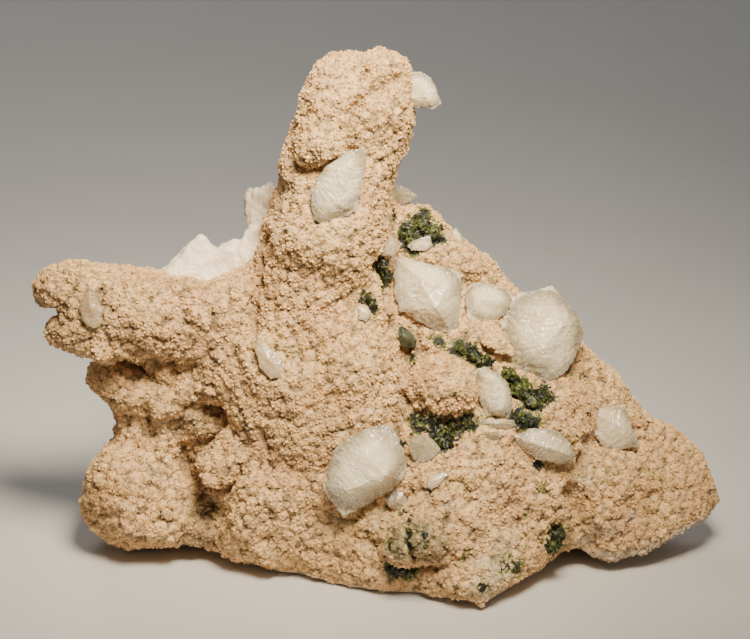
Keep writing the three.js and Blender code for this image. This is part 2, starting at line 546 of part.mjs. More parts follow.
function toothSolid() {
  const [root, tip] = [seen(...TOOTH.root), seen(...TOOTH.tip)];
  const length = root.distanceTo(tip);
  const tooth = new THREE.ConeGeometry(TOOTH.radius, length, TOOTH.facets).translate(0, length / 2, 0);
  const swing = new THREE.Quaternion().setFromUnitVectors(UP, tip.sub(root).normalize());
  return solidOf(tooth.applyQuaternion(swing).translate(root.x, root.y, root.z));
}

const MATERIALS = {
  dolomite: new THREE.MeshStandardMaterial({ color: 0xdab997, roughness: 0.85, metalness: 0 }),
  calcite: new THREE.MeshStandardMaterial({ color: 0xd2c8b4, roughness: 0.45, metalness: 0 }),
  broken: new THREE.MeshStandardMaterial({ color: 0xebdbc8, roughness: 0.7, metalness: 0 }),
  green: new THREE.MeshStandardMaterial({ color: 0x34422a, roughness: 0.6, metalness: 0 }),
  dark: new THREE.MeshStandardMaterial({ color: 0x3c3f38, roughness: 0.4, metalness: 0 }),
};

// The rock on its flat cut, before anything is let into it.
function bareRock() {
  const low = new THREE.Vector3(-WIDTH / 2 - 4, -36, -FOOT_DEPTH - 3);
  const high = new THREE.Vector3(WIDTH / 2 + 5, 38, 98);
  const floor = new THREE.BoxGeometry(3 * WIDTH, 3 * WIDTH, WIDTH).translate(0, 0, -WIDTH / 2);
  return solidOf(skinOf(rockField, low, high, SKIN_STEP)).add(toothSolid()).subtract(solidOf(floor));
}

// The whole specimen. Whatever grows on the rock sits in a socket of its own, and a later growth also keeps
// clear of the earlier ones.
function specimen() {
  const group = new THREE.Group();
  let sockets = LEDGE_PLATES.map((plate) => plateSolid(plate, GAP)).reduce((a, b) => a.add(b));
  const addPiece = (name, solid, material) => {
    const mesh = new THREE.Mesh(geometryOf(mainBody(solid)), material);
    mesh.name = name;
    group.add(mesh);
  };
  const ledge = LEDGE_PLATES.map((plate) => plateSolid(plate)).reduce((a, b) => a.add(b));
  addPiece("white_broken_ledge", ledge, MATERIALS.broken);
  for (const [name, shape] of Object.entries(CRYSTALS)) {
    const material = name === "dark_crystal" ? MATERIALS.dark : MATERIALS.calcite;
    addPiece(name, solidOf(new ConvexGeometry(crystalCorners(shape))).subtract(sockets), material);
    sockets = sockets.add(solidOf(new ConvexGeometry(crystalCorners(shape, GAP))));
  }
  for (const [name, run] of Object.entries(CRUSTS)) {
    addPiece(name, crustSolid(run).subtract(sockets), MATERIALS.green);
    sockets = sockets.add(crustSolid(run, GAP));
  }
  addPiece("dolomite_rock", bareRock().subtract(sockets), MATERIALS.dolomite);
  return group;
}

export default specimen();
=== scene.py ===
"""The looks of a dolomite specimen: a spired, armed crag crusted in fine tan dolomite grains, with milky
calcite crystals, small green crusts and a broken white ledge, on a pale floor under soft studio light."""

import math

import bmesh
import bpy
import numpy as np
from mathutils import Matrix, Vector, noise
from mathutils.bvhtree import BVHTree


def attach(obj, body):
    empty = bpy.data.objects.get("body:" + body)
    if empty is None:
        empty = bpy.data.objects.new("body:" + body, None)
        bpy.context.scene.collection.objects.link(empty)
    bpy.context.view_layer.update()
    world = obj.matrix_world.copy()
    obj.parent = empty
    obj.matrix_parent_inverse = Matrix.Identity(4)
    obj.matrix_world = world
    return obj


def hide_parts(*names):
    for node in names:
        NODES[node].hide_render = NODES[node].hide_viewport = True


bl_info = {
    "name": "Dolomite Specimen",
    "version": (1, 0, 0),
    "blender": (4, 5, 0),
    "location": "3D View > Sidebar > Specimen",
    "description": "Builds the looks of a dolomite specimen round its solid model",
    "category": "Object",
}

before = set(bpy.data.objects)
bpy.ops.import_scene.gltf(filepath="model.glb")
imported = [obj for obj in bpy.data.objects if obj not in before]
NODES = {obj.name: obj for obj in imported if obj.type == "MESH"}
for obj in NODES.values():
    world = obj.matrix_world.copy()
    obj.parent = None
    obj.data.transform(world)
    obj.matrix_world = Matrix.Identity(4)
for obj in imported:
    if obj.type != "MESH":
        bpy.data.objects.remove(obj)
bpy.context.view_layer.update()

MM = 0.001
CALCITES = [name for name in NODES if name.startswith("calcite_")]
GREENS = [name for name in NODES if name.startswith("green_crust_")]
GROWTHS = [name for name in NODES if name != "dolomite_rock"]

# The sight line that the specimen is laid out along. It looks along +Y and down, at a point above the
# origin.
SIGHT_TILT = math.radians(20)
SIGHT_DISTANCE = 600 * MM
AIM = Vector((0, 0, 43.5 * MM))
SIGHT = Vector((0, math.cos(SIGHT_TILT), -math.sin(SIGHT_TILT)))
UPWARD = Vector((0, math.sin(SIGHT_TILT), math.cos(SIGHT_TILT)))
EYE = AIM - SIGHT * SIGHT_DISTANCE

# How wide a strip the camera sees at that distance, and its sensor's width in millimetres.
FRAME_WIDTH = 130.4 * MM
SENSOR = 36.0

# The place that every light points at, and for each light its name, its place and width in metres, its
# tint, and the angle that it spreads over in degrees.
LIT = Vector((-11 * MM, 0, 67 * MM))
LIGHTS = [
    ("key", (0.03, -0.14, 0.25), 0.1, (1.0, 0.88, 0.69), 58),
    ("back", (-0.15, 0.45, 0.5), 0.3, (1.0, 0.98, 0.95), 180),
    ("fill", (0.5, -0.6, 0.3), 0.6, (1.0, 0.98, 0.96), 180),
]
FLOOR_REACH = 3

# Corners nearer than this are one corner, and a face this near a growth is a wall of its socket.
MERGED = 0.005 * MM
SOCKET_REACH = 0.62 * MM

# Face sizes of the rock's first, rougher mesh and of the green crusts.
ROUGH_STEP = 0.5 * MM
GREEN_STEP = 0.3 * MM

# Where the crust is parted into pieces, in millimetres: its skin and its low grains along the length, and
# the grains of the spire from the rest by height.
SKIN_SPLIT = -10
GRAIN_SPLITS = (-9, 18)
SPIRE_FOOT = 44

# The height in millimetres at which the ledge's plate gives way to its fin.
FIN_FOOT = 57

# The broken back, as in the solid model: how far behind the origin it stands, and its lean from upright.
BACK_FOOT = 25 * MM
BACK_LEAN = math.radians(10)

# How much of the crust's tan each of these crystals carries.
DUSTY = {
    "calcite_arm_plate": 0.6, "calcite_cheek_plate": 0.5, "calcite_spire_foot": 0.4,
    "calcite_cream_grain": 0.35, "calcite_twin_grains": 0.4, "calcite_lens": 0.12,
    "calcite_rhomb": 0.12,
}

# How glassy these smaller crystals are right through.
GLASSY = {
    "calcite_button": 0.85, "calcite_chip": 0.7, "calcite_clear_bead": 0.9, "calcite_blade_foot": 0.3,
    "calcite_behind_spire": 0.8, "calcite_cheek_plate": 0.5, "calcite_arm_plate": 0.5,
    "calcite_spire_foot": 0.4, "calcite_lens": 0.35, "calcite_rhomb": 0.3,
}

# Spots on the front, seen at (across, up) in millimetres from the aim point: (across, up, radius,
# strength). The rusty stains come first, then painted shade in the hollows, the right lobe's bare rim,
# the grey-green coat of one lump, pale haze, and green.
STAINS = [
    (-20.8, 7, 3.2, 0.7), (-19.6, 3.4, 2.8, 0.6), (-22.5, 8.2, 2.6, 0.5), (10.2, -10.8, 2.6, 0.6),
    (12.6, -8, 2.4, 0.6), (9.4, -8.6, 2.4, 0.6), (11.6, -13, 3, 0.3), (3.2, 9, 2.4, 0.5),
    (-18, -22, 5, 0.3), (-14, -26, 5, 0.3), (-48, -30, 4, 0.35), (-38, 12, 3, 0.25), (36, -34, 4, 0.3),
    (1.4, 33, 3, 0.3), (46, -32, 5, 0.35), (-30, 4, 4, 0.3),
]
# Painted shade: spots in the hollows that are darkened towards the brown of the creases.
SHADED_HOLLOWS = [
    (-31, -18.6, 5, 0.7), (-33, -25, 3.4, 0.8), (-30, -33, 4.2, 1), (-31, -38.4, 4, 1),
    (-23, -21.4, 2.2, 0.6), (-54.6, 1.6, 3, 0.7), (35, -27, 3, 0.5), (33, -36, 3, 0.5),
    (-8.6, -35.4, 3, 0.7), (5, -12, 2, 0.5), (-16.6, 26, 4, 0.35), (-17, 18, 4, 0.35),
]
RIMMED = [
    (39, -40.8, 0.9, 1), (41.2, -41.3, 0.9, 1), (43.5, -41.5, 0.9, 1), (46.1, -40.6, 0.9, 1),
    (48.2, -39.4, 0.9, 1), (50.4, -38, 0.9, 1), (52.7, -37, 0.9, 1), (54.8, -36.1, 0.9, 1),
    (56.9, -35, 0.9, 1), (58.6, -33.5, 0.9, 1),
]
COATED = [
    (7.4, -38, 6, 1.0), (3.6, -39, 4, 1.0), (10.6, -39.6, 3.6, 0.9), (1.6, -35.4, 2.4, 0.5),
    (16, -41, 2, 0.5),
]
PALED = [
    (44.5, -34, 1.3, 0.9), (21.4, -43.6, 4.4, 0.9), (18.6, -47.6, 3, 0.9), (22.6, -39.6, 3, 0.6),
    (45.6, -27, 1, 0.5), (37, -28, 1.4, 0.5), (13, -32, 1.4, 0.4),
]
GREENED = [
    (22.6, -42.6, 3.2, 0.62), (24.4, -43, 2.4, 0.8), (5, -33.8, 1.4, 1), (6, -34.6, 1.2, 1),
    (4.9, -21.6, 1.2, 0.9), (6.4, -6.4, 1.6, 1), (6.7, -8, 1.3, 0.9), (11.2, -4, 1.6, 1),
    (9.6, -3, 1.2, 0.7), (31.6, -38, 3.4, 1), (28.6, -25, 1.8, 1), (15.8, -30, 1.1, 0.5),
    (28.6, -29.6, 1.6, 0.6), (26.4, -34, 1.4, 0.5), (38.8, -3.8, 2, 0.45), (40.6, -8, 2, 0.4),
    (36, -10.6, 1.8, 0.5), (18.8, -46.6, 1.6, 0.9), (17, 17.2, 0.8, 0.6), (14.8, 5.8, 1, 0.6),
    (20.5, 7.2, 1, 0.5), (30.6, -7.8, 1.4, 0.5), (2, 12.4, 1.4, 0.9), (8.6, 18.6, 1.8, 0.9),
    (11.8, 16, 1.8, 0.9), (3.4, 18.4, 1.6, 0.9), (22.8, -12.4, 2.4, 0.9), (27.6, -14.6, 2.4, 0.9),
    (-0.9, 3.6, 1.4, 0.9), (9.6, -17.6, 2, 0.9), (14.6, -18.8, 2.2, 0.9), (11.6, -21.6, 1.8, 0.9),
    (34, -9.4, 3.4, 0.36), (12.4, 5.6, 3, 0.34), (31.4, -41, 2, 0.9), (2.6, -40.2, 1.1, 0.9),
    (6, -39, 0.9, 0.8), (8.8, -39.6, 0.9, 0.7), (10.4, -26.4, 2.6, 0.34), (13.6, -12, 4, 0.3),
    (5, -44, 2, 0.9), (26, -38, 2.4, 0.4), (49, -26, 5, 0.28), (40.6, -27, 3, 0.3),
]

# Lumps and hollows on the front: (across, up, radius, height), with a height below zero for a hollow.
LUMPS = [
    (-9.9, 37.3, 5.5, 1.5), (-9.9, 29.8, 4.4, 2), (-7, 43.7, 4, 0.8), (2.3, 44.8, 3.5, 0.9),
    (-16, 29.5, 3.6, -2), (-14.4, 37.3, 3, -1.4), (-17.2, 21.7, 4, -1.5), (1.7, 34.7, 4, 0.6),
    (-6.1, 13.8, 6, 0.8), (-15.7, 7.7, 4, 0.8), (-55.4, 1.9, 2.4, -5), (-56.9, 6, 3, 0.9),
    (-53.9, -2.7, 3, 0.8), (-50.4, 6.9, 3.5, 0.6), (-40.9, 3.4, 6, 0.8), (-30.4, 3.4, 5, 0.5),
    (-43.5, -12, 4.4, 2.4), (-45.2, -9.2, 3, 1.8), (-38, -13.4, 4.4, 2), (-47.8, -10.5, 3, 0.8),
    (-41.7, -13.1, 4, 0.9), (-36.5, -14.9, 2.6, 1.5), (-33.6, -12.6, 2.8, 1.4), (-31.3, -15.7, 2, 1),
    (-30.2, -17.6, 3.8, 2.2), (-27.2, -17.2, 3.2, 3), (-32.6, -24, 3.6, -2.2), (-27.1, -25.1, 3.4, 3.8),
    (-26.6, -27.4, 2, 1.4), (-29.2, -33.4, 4.2, -3.4), (-30.4, -38.3, 4, -3.6), (-32.2, -28, 3, -2.6),
    (-43.5, -29.7, 7, 1.4), (-41.7, -35.7, 4, 1), (-37.4, -21.8, 4, 0.9), (-23.5, -34.9, 4, 1.6),
    (-19.7, -41, 3, 1), (-22.6, -16.6, 4.4, 1.3), (-26.1, -14, 3.4, 1.2), (-19.7, -29.7, 4.5, 0.9),
    (-13, -10.5, 5, 0.9), (-1.7, -8.8, 5, 0.9), (-0.9, -18.3, 3.6, 1), (-9.2, -35.2, 3.4, -1.6),
    (-0.2, -35.2, 3, 1.5), (4.7, -39.7, 2.4, 1.6), (7.7, -37.6, 2.6, 1.8), (11.5, -38.8, 2.4, 1.5),
    (16.5, -34.9, 3.2, 1), (12.3, -11.7, 6, 1.9), (21.7, -27.9, 5, 1.1), (20, -21, 3, 0.8),
    (29.6, -29.7, 4.4, 1), (7.8, -27.9, 3, 0.8), (8.7, 18.7, 3, 0.8), (16.5, 10, 3.2, 1),
    (37.4, -14, 4, 0.7), (0.9, 10.3, 2.4, -1.8), (34.3, -31.4, 2.6, -1.8), (36.2, -24.8, 2.4, -1.3),
    (32.5, -36.6, 2.6, -1.4), (47, -26.2, 7, 1), (40, -34.9, 4, 1.2), (54.8, -27.9, 4, 0.5),
    (42.6, -28.8, 3.4, 0.8), (39.1, -21, 2, -1.2), (48.2, -18.7, 1.8, -1.4), (36.2, -15.6, 2.4, -1.2),
    (22.6, -41.8, 3, -0.8), (14.8, -45.3, 3, 0.6), (-47.8, -5.3, 1.8, 1.5), (-44.7, -5.7, 1.6, 1.4),
    (-41.7, -6.3, 1.8, 1.6), (-39.1, -7.4, 1.6, 1.4), (-36.5, -8.8, 1.8, 1.5),
]

# No stretch of a crease that is longer than this is cut, because its ends lie on different forms.
LONGEST_RUN = 14 * MM

# Creases on the front: the width, the depth and the points (across, up) that each runs through.
CREASES = [
    (1.5, 1.7, [(4, 42.3), (0.9, 40.6), (-2.3, 38.5), (-4, 36.1), (-5, 32.1), (-4, 29.1)]),
    (1.6, 2.2, [(-14.8, 26.7), (-12.3, 25.3), (-9.6, 25.7), (-6.8, 27.7)]),
    (1.7, 1.7, [(-12.5, 41.7), (-13.6, 37.3), (-14.6, 29.1), (-15, 25.7), (-15.7, 21.7), (-16.5, 13.8)]),
    (1.3, 1.4, [(-3.1, 46.9), (-2.3, 44.8), (-1.6, 42.7)]),
    (1.4, 1.9, [(-18.6, 14.5), (-19.7, 12.1), (-20, 5.8), (-21.4, 3.4),
                (-21.2, -2.2), (-21.4, -6), (-17.9, -10.2)]),
    (0.8, 0.6, [(-36.9, 6.3), (-30.4, 6.2), (-26.1, 7.2), (-22.6, 8.3), (-20.3, 10)]),
    (0.7, 0.6, [(-31.3, 6.2), (-29, 5.3), (-27.7, 4.8), (-26.3, 3.7)]),
    (0.8, 0.6, [(-9.6, 9), (-11.7, 5.5), (-12.2, 1.7)]),
    (1.1, 1, [(-49.7, -6.5), (-44.9, -6.5), (-41.9, -7.2), (-39.5, -9.1), (-37, -11.2)]),
    (1.1, 1.2, [(-31, -8.1), (-34.1, -9), (-35.8, -11.6), (-37.7, -14), (-39.1, -16.8)]),
    (1.5, 2.8, [(-32.5, -22.3), (-31, -26.2), (-28.5, -29.1), (-25.4, -29.3), (-23.4, -26.6)]),
    (1.1, 0.9, [(-22.3, -22.3), (-23.8, -20.1), (-27, -18.9)]),
    (2.6, 2.4, [(-33.6, -24.1), (-31.5, -27.6), (-28.5, -33.5), (-29.2, -37.7), (-30.6, -40.1)]),
    (0.9, 0.8, [(-51.3, -33.5), (-48.2, -33.5), (-44.7, -34.3)]),
    (1.2, 1, [(-25.6, -29.7), (-24.9, -32.3), (-25.9, -35.7)]),
    (1.5, 1.5, [(4.3, -5.7), (5.2, -10.2), (5, -13.3), (4.3, -16.1), (3.7, -20.6)]),
    (1.2, 1.2, [(5.7, -5.7), (5.2, -13.1), (6.4, -16.1), (10.6, -16.4),
                (15.1, -17.5), (18.3, -14.7), (18.3, -10.9)]),
    (1.1, 0.9, [(6.4, -8.1), (9.2, -6.3), (13, -5.7), (16.5, -7.4)]),
    (0.9, 2.2, [(2, -37.6), (2.6, -39.4), (3, -41.6)]),
    (0.9, 2.4, [(5.2, -36.2), (6.1, -39.2), (6.8, -41.8)]),
    (0.9, 2.2, [(8.4, -37), (9.4, -41.2)]),
    (0.8, 1.6, [(12, -39.7), (13.9, -41.1)]),
    (1.3, 1.8, [(1.6, -41.1), (2.6, -42.7), (5.2, -43.6), (9.2, -43.7), (13.4, -42.3), (16.9, -41.1)]),
    (1.1, 1.3, [(-4, -38), (-0.9, -39), (1.9, -38.3)]),
    (0.9, 0.9, [(13.9, -34.5), (16.5, -36.6), (18.6, -38.3)]),
    (1.8, 1.8, [(37.7, -20.3), (36.3, -24.4), (34.6, -29), (33.2, -37), (32.5, -39.7)]),
    (0.9, 1.2, [(44.7, -18.9), (46.4, -19.4), (48.2, -18.7), (49.2, -17.5)]),
    (0.8, 0.7, [(39.8, -23), (38.4, -26.2), (37.4, -29.7)]),
    (1.5, 1.7, [(3, 18.2), (2.3, 12.1), (1.6, 6.9), (2.3, 2.5), (3, -1)]),
    (0.8, 0.8, [(9.2, -19.2), (15.1, -20.3), (18.3, -22), (16.5, -26.2)]),
    (0.7, 0.6, [(-7.8, -13.1), (-8.9, -17.5), (-8.5, -21)]),
    (0.7, 0.6, [(-16.5, -13.1), (-14.8, -17.5), (-15.8, -21.8)]),
    (0.7, 0.6, [(-44.3, 9), (-43.7, 6), (-45, 3.4)]),
    (0.8, 0.7, [(21.7, -18.3), (25.2, -23.6), (29.6, -26.2), (32.2, -26.2)]),
]


def linear(red, green, blue):
    """A colour given as screen values from 0 to 255, as the shader's own values."""
    def channel(value):
        value /= 255
        return value / 12.92 if value <= 0.04045 else ((value + 0.055) / 1.055) ** 2.4
    return (channel(red), channel(green), channel(blue), 1.0)


def colour_input(name, description, value):
    return bpy.props.FloatVectorProperty(
        name=name, description=description, subtype="COLOR", size=4, min=0, max=1, default=value
    )


def length_input(name, description, millimetres):
    return bpy.props.FloatProperty(
        name=name, description=description, unit="LENGTH", default=millimetres * MM, min=0, precision=5
    )


def power_input(name, description, watts):
    return bpy.props.FloatProperty(name=name, description=description, unit="POWER", default=watts, min=0)


class RockSettings(bpy.types.PropertyGroup):
    """Sizes and colours of the crusted rock."""

    detail: length_input("Detail", "Spacing of the rock's fine mesh", 0.4)
    cluster: length_input("Cluster size", "Width of the crust's knobs", 1.65)
    cluster_height: length_input("Cluster height", "How far the knobs stand out", 1.4)
    grain: length_input("Grain size", "Width of the bumps on the knobs", 0.8)
    grain_height: length_input("Grain height", "How far the bumps stand out", 0.34)
    swell: length_input("Swell height", "Height of the low lumps under the knobs", 1.1)
    light: colour_input("Light crust", "The crust's palest grains", linear(250, 213, 154))
    middle: colour_input("Crust", "The crust's usual colour", linear(214, 170, 110))
    rosy: colour_input("Rosy crust", "The pinker patches of the crust", linear(226, 170, 132))
    # Painted shade: this brown darkens the creases between the knobs and the hollows, where shade falls.
    crevice: colour_input("Crevices", "The brown between the knobs", linear(104, 90, 66))
    stain: colour_input("Stain", "The rusty stain in the hollows", linear(176, 128, 84))
    broken: colour_input("Broken rock", "The bare rock of the broken back and foot", linear(205, 192, 172))


class GrainSettings(bpy.types.PropertyGroup):
    """The loose grains of the crust."""

    smallest: length_input("Smallest grain", "Width of the smallest grains", 0.36)
    largest: length_input("Largest grain", "Width of the largest grains", 0.86)
    spacing: length_input("Spacing", "Least distance between two grains", 0.45)
    stretch: bpy.props.FloatProperty(
        name="Stretch", description="Length of a grain along its axis over a cube's", default=1.15, min=0.2
    )
    seed: bpy.props.IntProperty(name="Seed", description="Changes where the grains lie", default=7)


class CalciteSettings(bpy.types.PropertyGroup):
    """The milky crystals."""

    detail: length_input("Detail", "Spacing of the crystals' fine mesh", 0.28)
    rounding: bpy.props.IntProperty(
        name="Rounding", description="How much the edges are worn", default=0, min=0
    )
    ripple: length_input("Ripple", "Height of the growth ripples on the faces", 0.16)
    frill: length_input("Frill", "How far the large crystals' rims are frayed", 0.45)
    frost: length_input("Frost", "Height of the fine frost that sparkles", 0.05)
    heart: colour_input("Heart", "The white inside of a crystal", linear(248, 231, 194))
    rim: colour_input("Rim", "The clearer, greyer rim of a crystal", linear(186, 172, 138))


class GreenSettings(bpy.types.PropertyGroup):
    """The green crusts."""

    grain: length_input("Crystal size", "Width of the tiny green crystals", 0.5)
    # Real dark and yellow greens, both made darker as painted shade for the hollows the crusts lie in.
    deep_green_and_shade: colour_input("Deep green", "The darkest green", linear(24, 28, 15))
    bright: colour_input("Bright green", "The yellow-green of the palest grains", linear(118, 128, 56))


class LedgeSettings(bpy.types.PropertyGroup):
    """The broken white ledge."""

    detail: length_input("Detail", "Spacing of the ledge's fine mesh", 0.32)
    rough: length_input("Roughness", "Height of the splinters and steps", 0.3)
    bright: colour_input("White", "The bright broken face", linear(255, 240, 214))
    # Real dull grey of patches and layers, also used as painted shade on the fin.
    dull_and_shaded: colour_input("Dull", "The greyer, layered fin", linear(196, 180, 158))


class StageSettings(bpy.types.PropertyGroup):
    """The floor and the lights."""

    floor: colour_input("Floor", "Colour of the floor", linear(206, 204, 200))
    key: power_input("Key light", "Power of the main light", 0.23)
    back: power_input("Back light", "Power of the back light", 0.9)
    fill: power_input("Fill light", "Power of the fill", 0.3)
    sky: bpy.props.FloatProperty(
        name="Surroundings", description="Brightness all round", default=0.14, min=0
    )


SETTINGS = {
    "specimen_rock": RockSettings,
    "specimen_grain": GrainSettings,
    "specimen_calcite": CalciteSettings,
    "specimen_green": GreenSettings,
    "specimen_ledge": LedgeSettings,
    "specimen_stage": StageSettings,
}


# Mesh helpers

def read(items, field, width, kind=np.float32):
    """A row of numbers for each item of one of a mesh's lists."""
    flat = np.empty(len(items) * width, dtype=kind)
    items.foreach_get(field, flat)
    return flat.reshape(-1, width)


def points_of(mesh):
    return read(mesh.vertices, "co", 3).astype(np.float64)


def set_points(mesh, points):
    mesh.vertices.foreach_set("co", points.astype(np.float32).ravel())
    mesh.update()


def normals_of(mesh):
    return read(mesh.vertex_normals, "vector", 3).astype(np.float64)


def edges_of(mesh):
    return read(mesh.edges, "vertices", 2, np.int32)


def face_centres(mesh):
    return read(mesh.polygons, "center", 3)


def store(mesh, name, values):
    """Keeps one number for each point of a mesh, for its material and its grains to read."""
    attribute = mesh.attributes.new(name, "FLOAT", "POINT")
    attribute.data.foreach_set("value", np.asarray(values, dtype=np.float32))


def smoothed(values, edges, rounds, share=0.5):
    """Draws each point's values towards the mean of its neighbours', over and over."""
    count = len(values)
    first, second = edges[:, 0], edges[:, 1]
    degree = np.maximum(np.bincount(edges.ravel(), minlength=count), 1)[:, None]
    for _ in range(rounds):
        total = np.stack([
            np.bincount(first, column[second], count) + np.bincount(second, column[first], count)
            for column in values.T
        ], axis=1)
        values = values + share * (total / degree - values)
    return values


def evened(mesh, rounds):
    """Smooths a mesh without shrinking it, by drawing its points in and out by turns."""
    edges = edges_of(mesh)
    points = points_of(mesh)
    for _ in range(rounds):
        points = smoothed(smoothed(points, edges, 1, 0.5), edges, 1, -0.52)
    set_points(mesh, points)


def broad_normals(mesh, rounds):
    normals = smoothed(normals_of(mesh), edges_of(mesh), rounds)
    return normals / np.maximum(np.linalg.norm(normals, axis=1), 1e-9)[:, None]


def merged_copy(*names):
    """The named solids' meshes as one bmesh with their shared corners merged."""
    form = bmesh.new()
    for name in names:
        form.from_mesh(NODES[name].data)
    bmesh.ops.remove_doubles(form, verts=form.verts, dist=MERGED)
    return form


def to_mesh(form, name):
    mesh = bpy.data.meshes.new(name)
    form.to_mesh(mesh)
    form.free()
    return mesh


def tree_of(mesh, points):
    return BVHTree.FromPolygons([tuple(p) for p in points], [tuple(face.vertices) for face in mesh.polygons])


def tree_round(*names):
    """A search tree of the named solids."""
    form = merged_copy(*names)
    tree = BVHTree.FromBMesh(form)
    form.free()
    return tree


def distances_to(points, tree):
    """How far each point lies from the solids of a search tree, in millimetres."""
    return np.array([tree.find_nearest(Vector(p))[3] for p in points]) / MM


def shown(name, data):
    piece = bpy.data.objects.new(name, data)
    bpy.context.scene.collection.objects.link(piece)
    return piece


def evaluated(holder):
    """The mesh that an object's modifiers give. The object itself is removed."""
    graph = bpy.context.evaluated_depsgraph_get()
    made = bpy.data.meshes.new_from_object(holder.evaluated_get(graph))
    bpy.data.objects.remove(holder)
    return made


def voxelled(mesh, name, step):
    """The mesh's form laid out again in small even four-cornered faces."""
    holder = shown("holder", mesh)
    remesh = holder.modifiers.new("remesh", "REMESH")
    remesh.mode = "VOXEL"
    remesh.voxel_size = step
    made = evaluated(holder)
    made.name = name
    return made


def part_of(mesh, kept, name):
    """A mesh of the kept four-cornered faces, with their points' stored values and the whole's normals."""
    faces = read(mesh.loops, "vertex_index", 1, np.int32).reshape(-1, 4)[kept]
    used, renumbered = np.unique(faces.ravel(), return_inverse=True)
    part = bpy.data.meshes.new(name)
    part.vertices.add(len(used))
    part.vertices.foreach_set("co", points_of(mesh)[used].astype(np.float32).ravel())
    part.loops.add(faces.size)
    part.loops.foreach_set("vertex_index", renumbered.astype(np.int32).ravel())
    part.polygons.add(len(faces))
    part.polygons.foreach_set("loop_start", np.arange(0, faces.size, 4, dtype=np.int32))
    part.update(calc_edges=True)
    part.shade_smooth()
    part.normals_split_custom_set_from_vertices(normals_of(mesh)[used])
    for attribute in mesh.attributes:
        if attribute.domain == "POINT" and attribute.data_type == "FLOAT":
            store(part, attribute.name, read(attribute.data, "value", 1)[used, 0])
    return part


def finish_piece(name, mesh, material, slot, *replaced):
    mesh.materials.clear()
    mesh.materials.append(material)
    piece = shown(name, mesh)
    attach(piece, "root")
    if replaced:
        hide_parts(*replaced)
    return piece


# Patterns over the surface

def swells(point, size):
    """Low soft lumps, from about -1 to 1."""
    return noise.fractal(point / size, 0.8, 2.1, 2)


def knobs(point, size, bend):
    """Round knobs packed side by side, with a narrow crease between them: the height from 0 to 1, how near
    the crease is from 0 to 1, and a number from 0 to 1 that each knob has."""
    warped = point + noise.noise_vector(point / (size * 1.3)) * (size * bend)
    distances, centres = noise.voronoi(warped / size)
    crease = max(0.0, 1 - (distances[1] - distances[0]) / 0.2)
    height = math.sqrt(max(0.0, 1 - (distances[0] / 0.98) ** 2)) - 0.12 * crease
    return height, crease, (7.13 * centres[0].x + 3.77 * centres[0].y + 5.91 * centres[0].z) % 1.0


def front_hit(tree, across, up):
    """Where the sight line through a place on the front meets the surface, or None."""
    target = AIM + UPWARD * (up * MM) + Vector((across * MM, 0, 0))
    hit = tree.ray_cast(EYE, (target - EYE).normalized())[0]
    return None if hit is None else np.array(hit)


def spot_mask(points, tree, spots):
    """From 0 to 1, how much each point lies within any of the spots seen from the front."""
    mask = np.zeros(len(points))
    for across, up, radius, strength in spots:
        centre = front_hit(tree, across, up)
        if centre is None:
            continue
        away = np.linalg.norm(points - centre, axis=1) / (radius * MM)
        mask = np.maximum(mask, strength * np.clip(1.3 - away, 0, 1))
    return mask


def lump_relief(points, tree):
    """How far the front's lumps and hollows move each point."""
    out = np.zeros(len(points))
    for across, up, radius, height in LUMPS:
        centre = front_hit(tree, across, up)
        if centre is not None:
            away = np.linalg.norm(points - centre, axis=1) / (1.3 * radius * MM)
            out += height * MM * np.clip(1 - away ** 2, 0, 1) ** 2
    return out


def crease_share(points, spots, width):
    """From 0 to 1, how far into a crease each point lies."""
    share = np.zeros(len(points))
    for start, end in zip(spots, spots[1:]):
        run = end - start
        if np.linalg.norm(run) > LONGEST_RUN:
            continue
        along = np.clip((points - start) @ run / (run @ run), 0, 1)
        away = np.linalg.norm(points - start - along[:, None] * run, axis=1) / (width * MM)
        share = np.maximum(share, np.clip(1 - away, 0, 1))
    return share


def front_relief(points, tree):
    """How far the front's lumps and creases move each point, and how far into a crease it lies."""
    wander = np.array([noise.noise_vector(Vector(p) / (2.4 * MM)) for p in points])
    strayed = points + wander * (0.7 * MM)
    out = lump_relief(strayed, tree)
    deepest = np.zeros(len(points))
    for width, depth, places in CREASES:
        hits = [front_hit(tree, *place) for place in places]
        share = crease_share(strayed, [hit for hit in hits if hit is not None], width)
        out -= depth * MM * share ** 1.3
        deepest = np.maximum(deepest, share)
    return out, deepest


# Materials

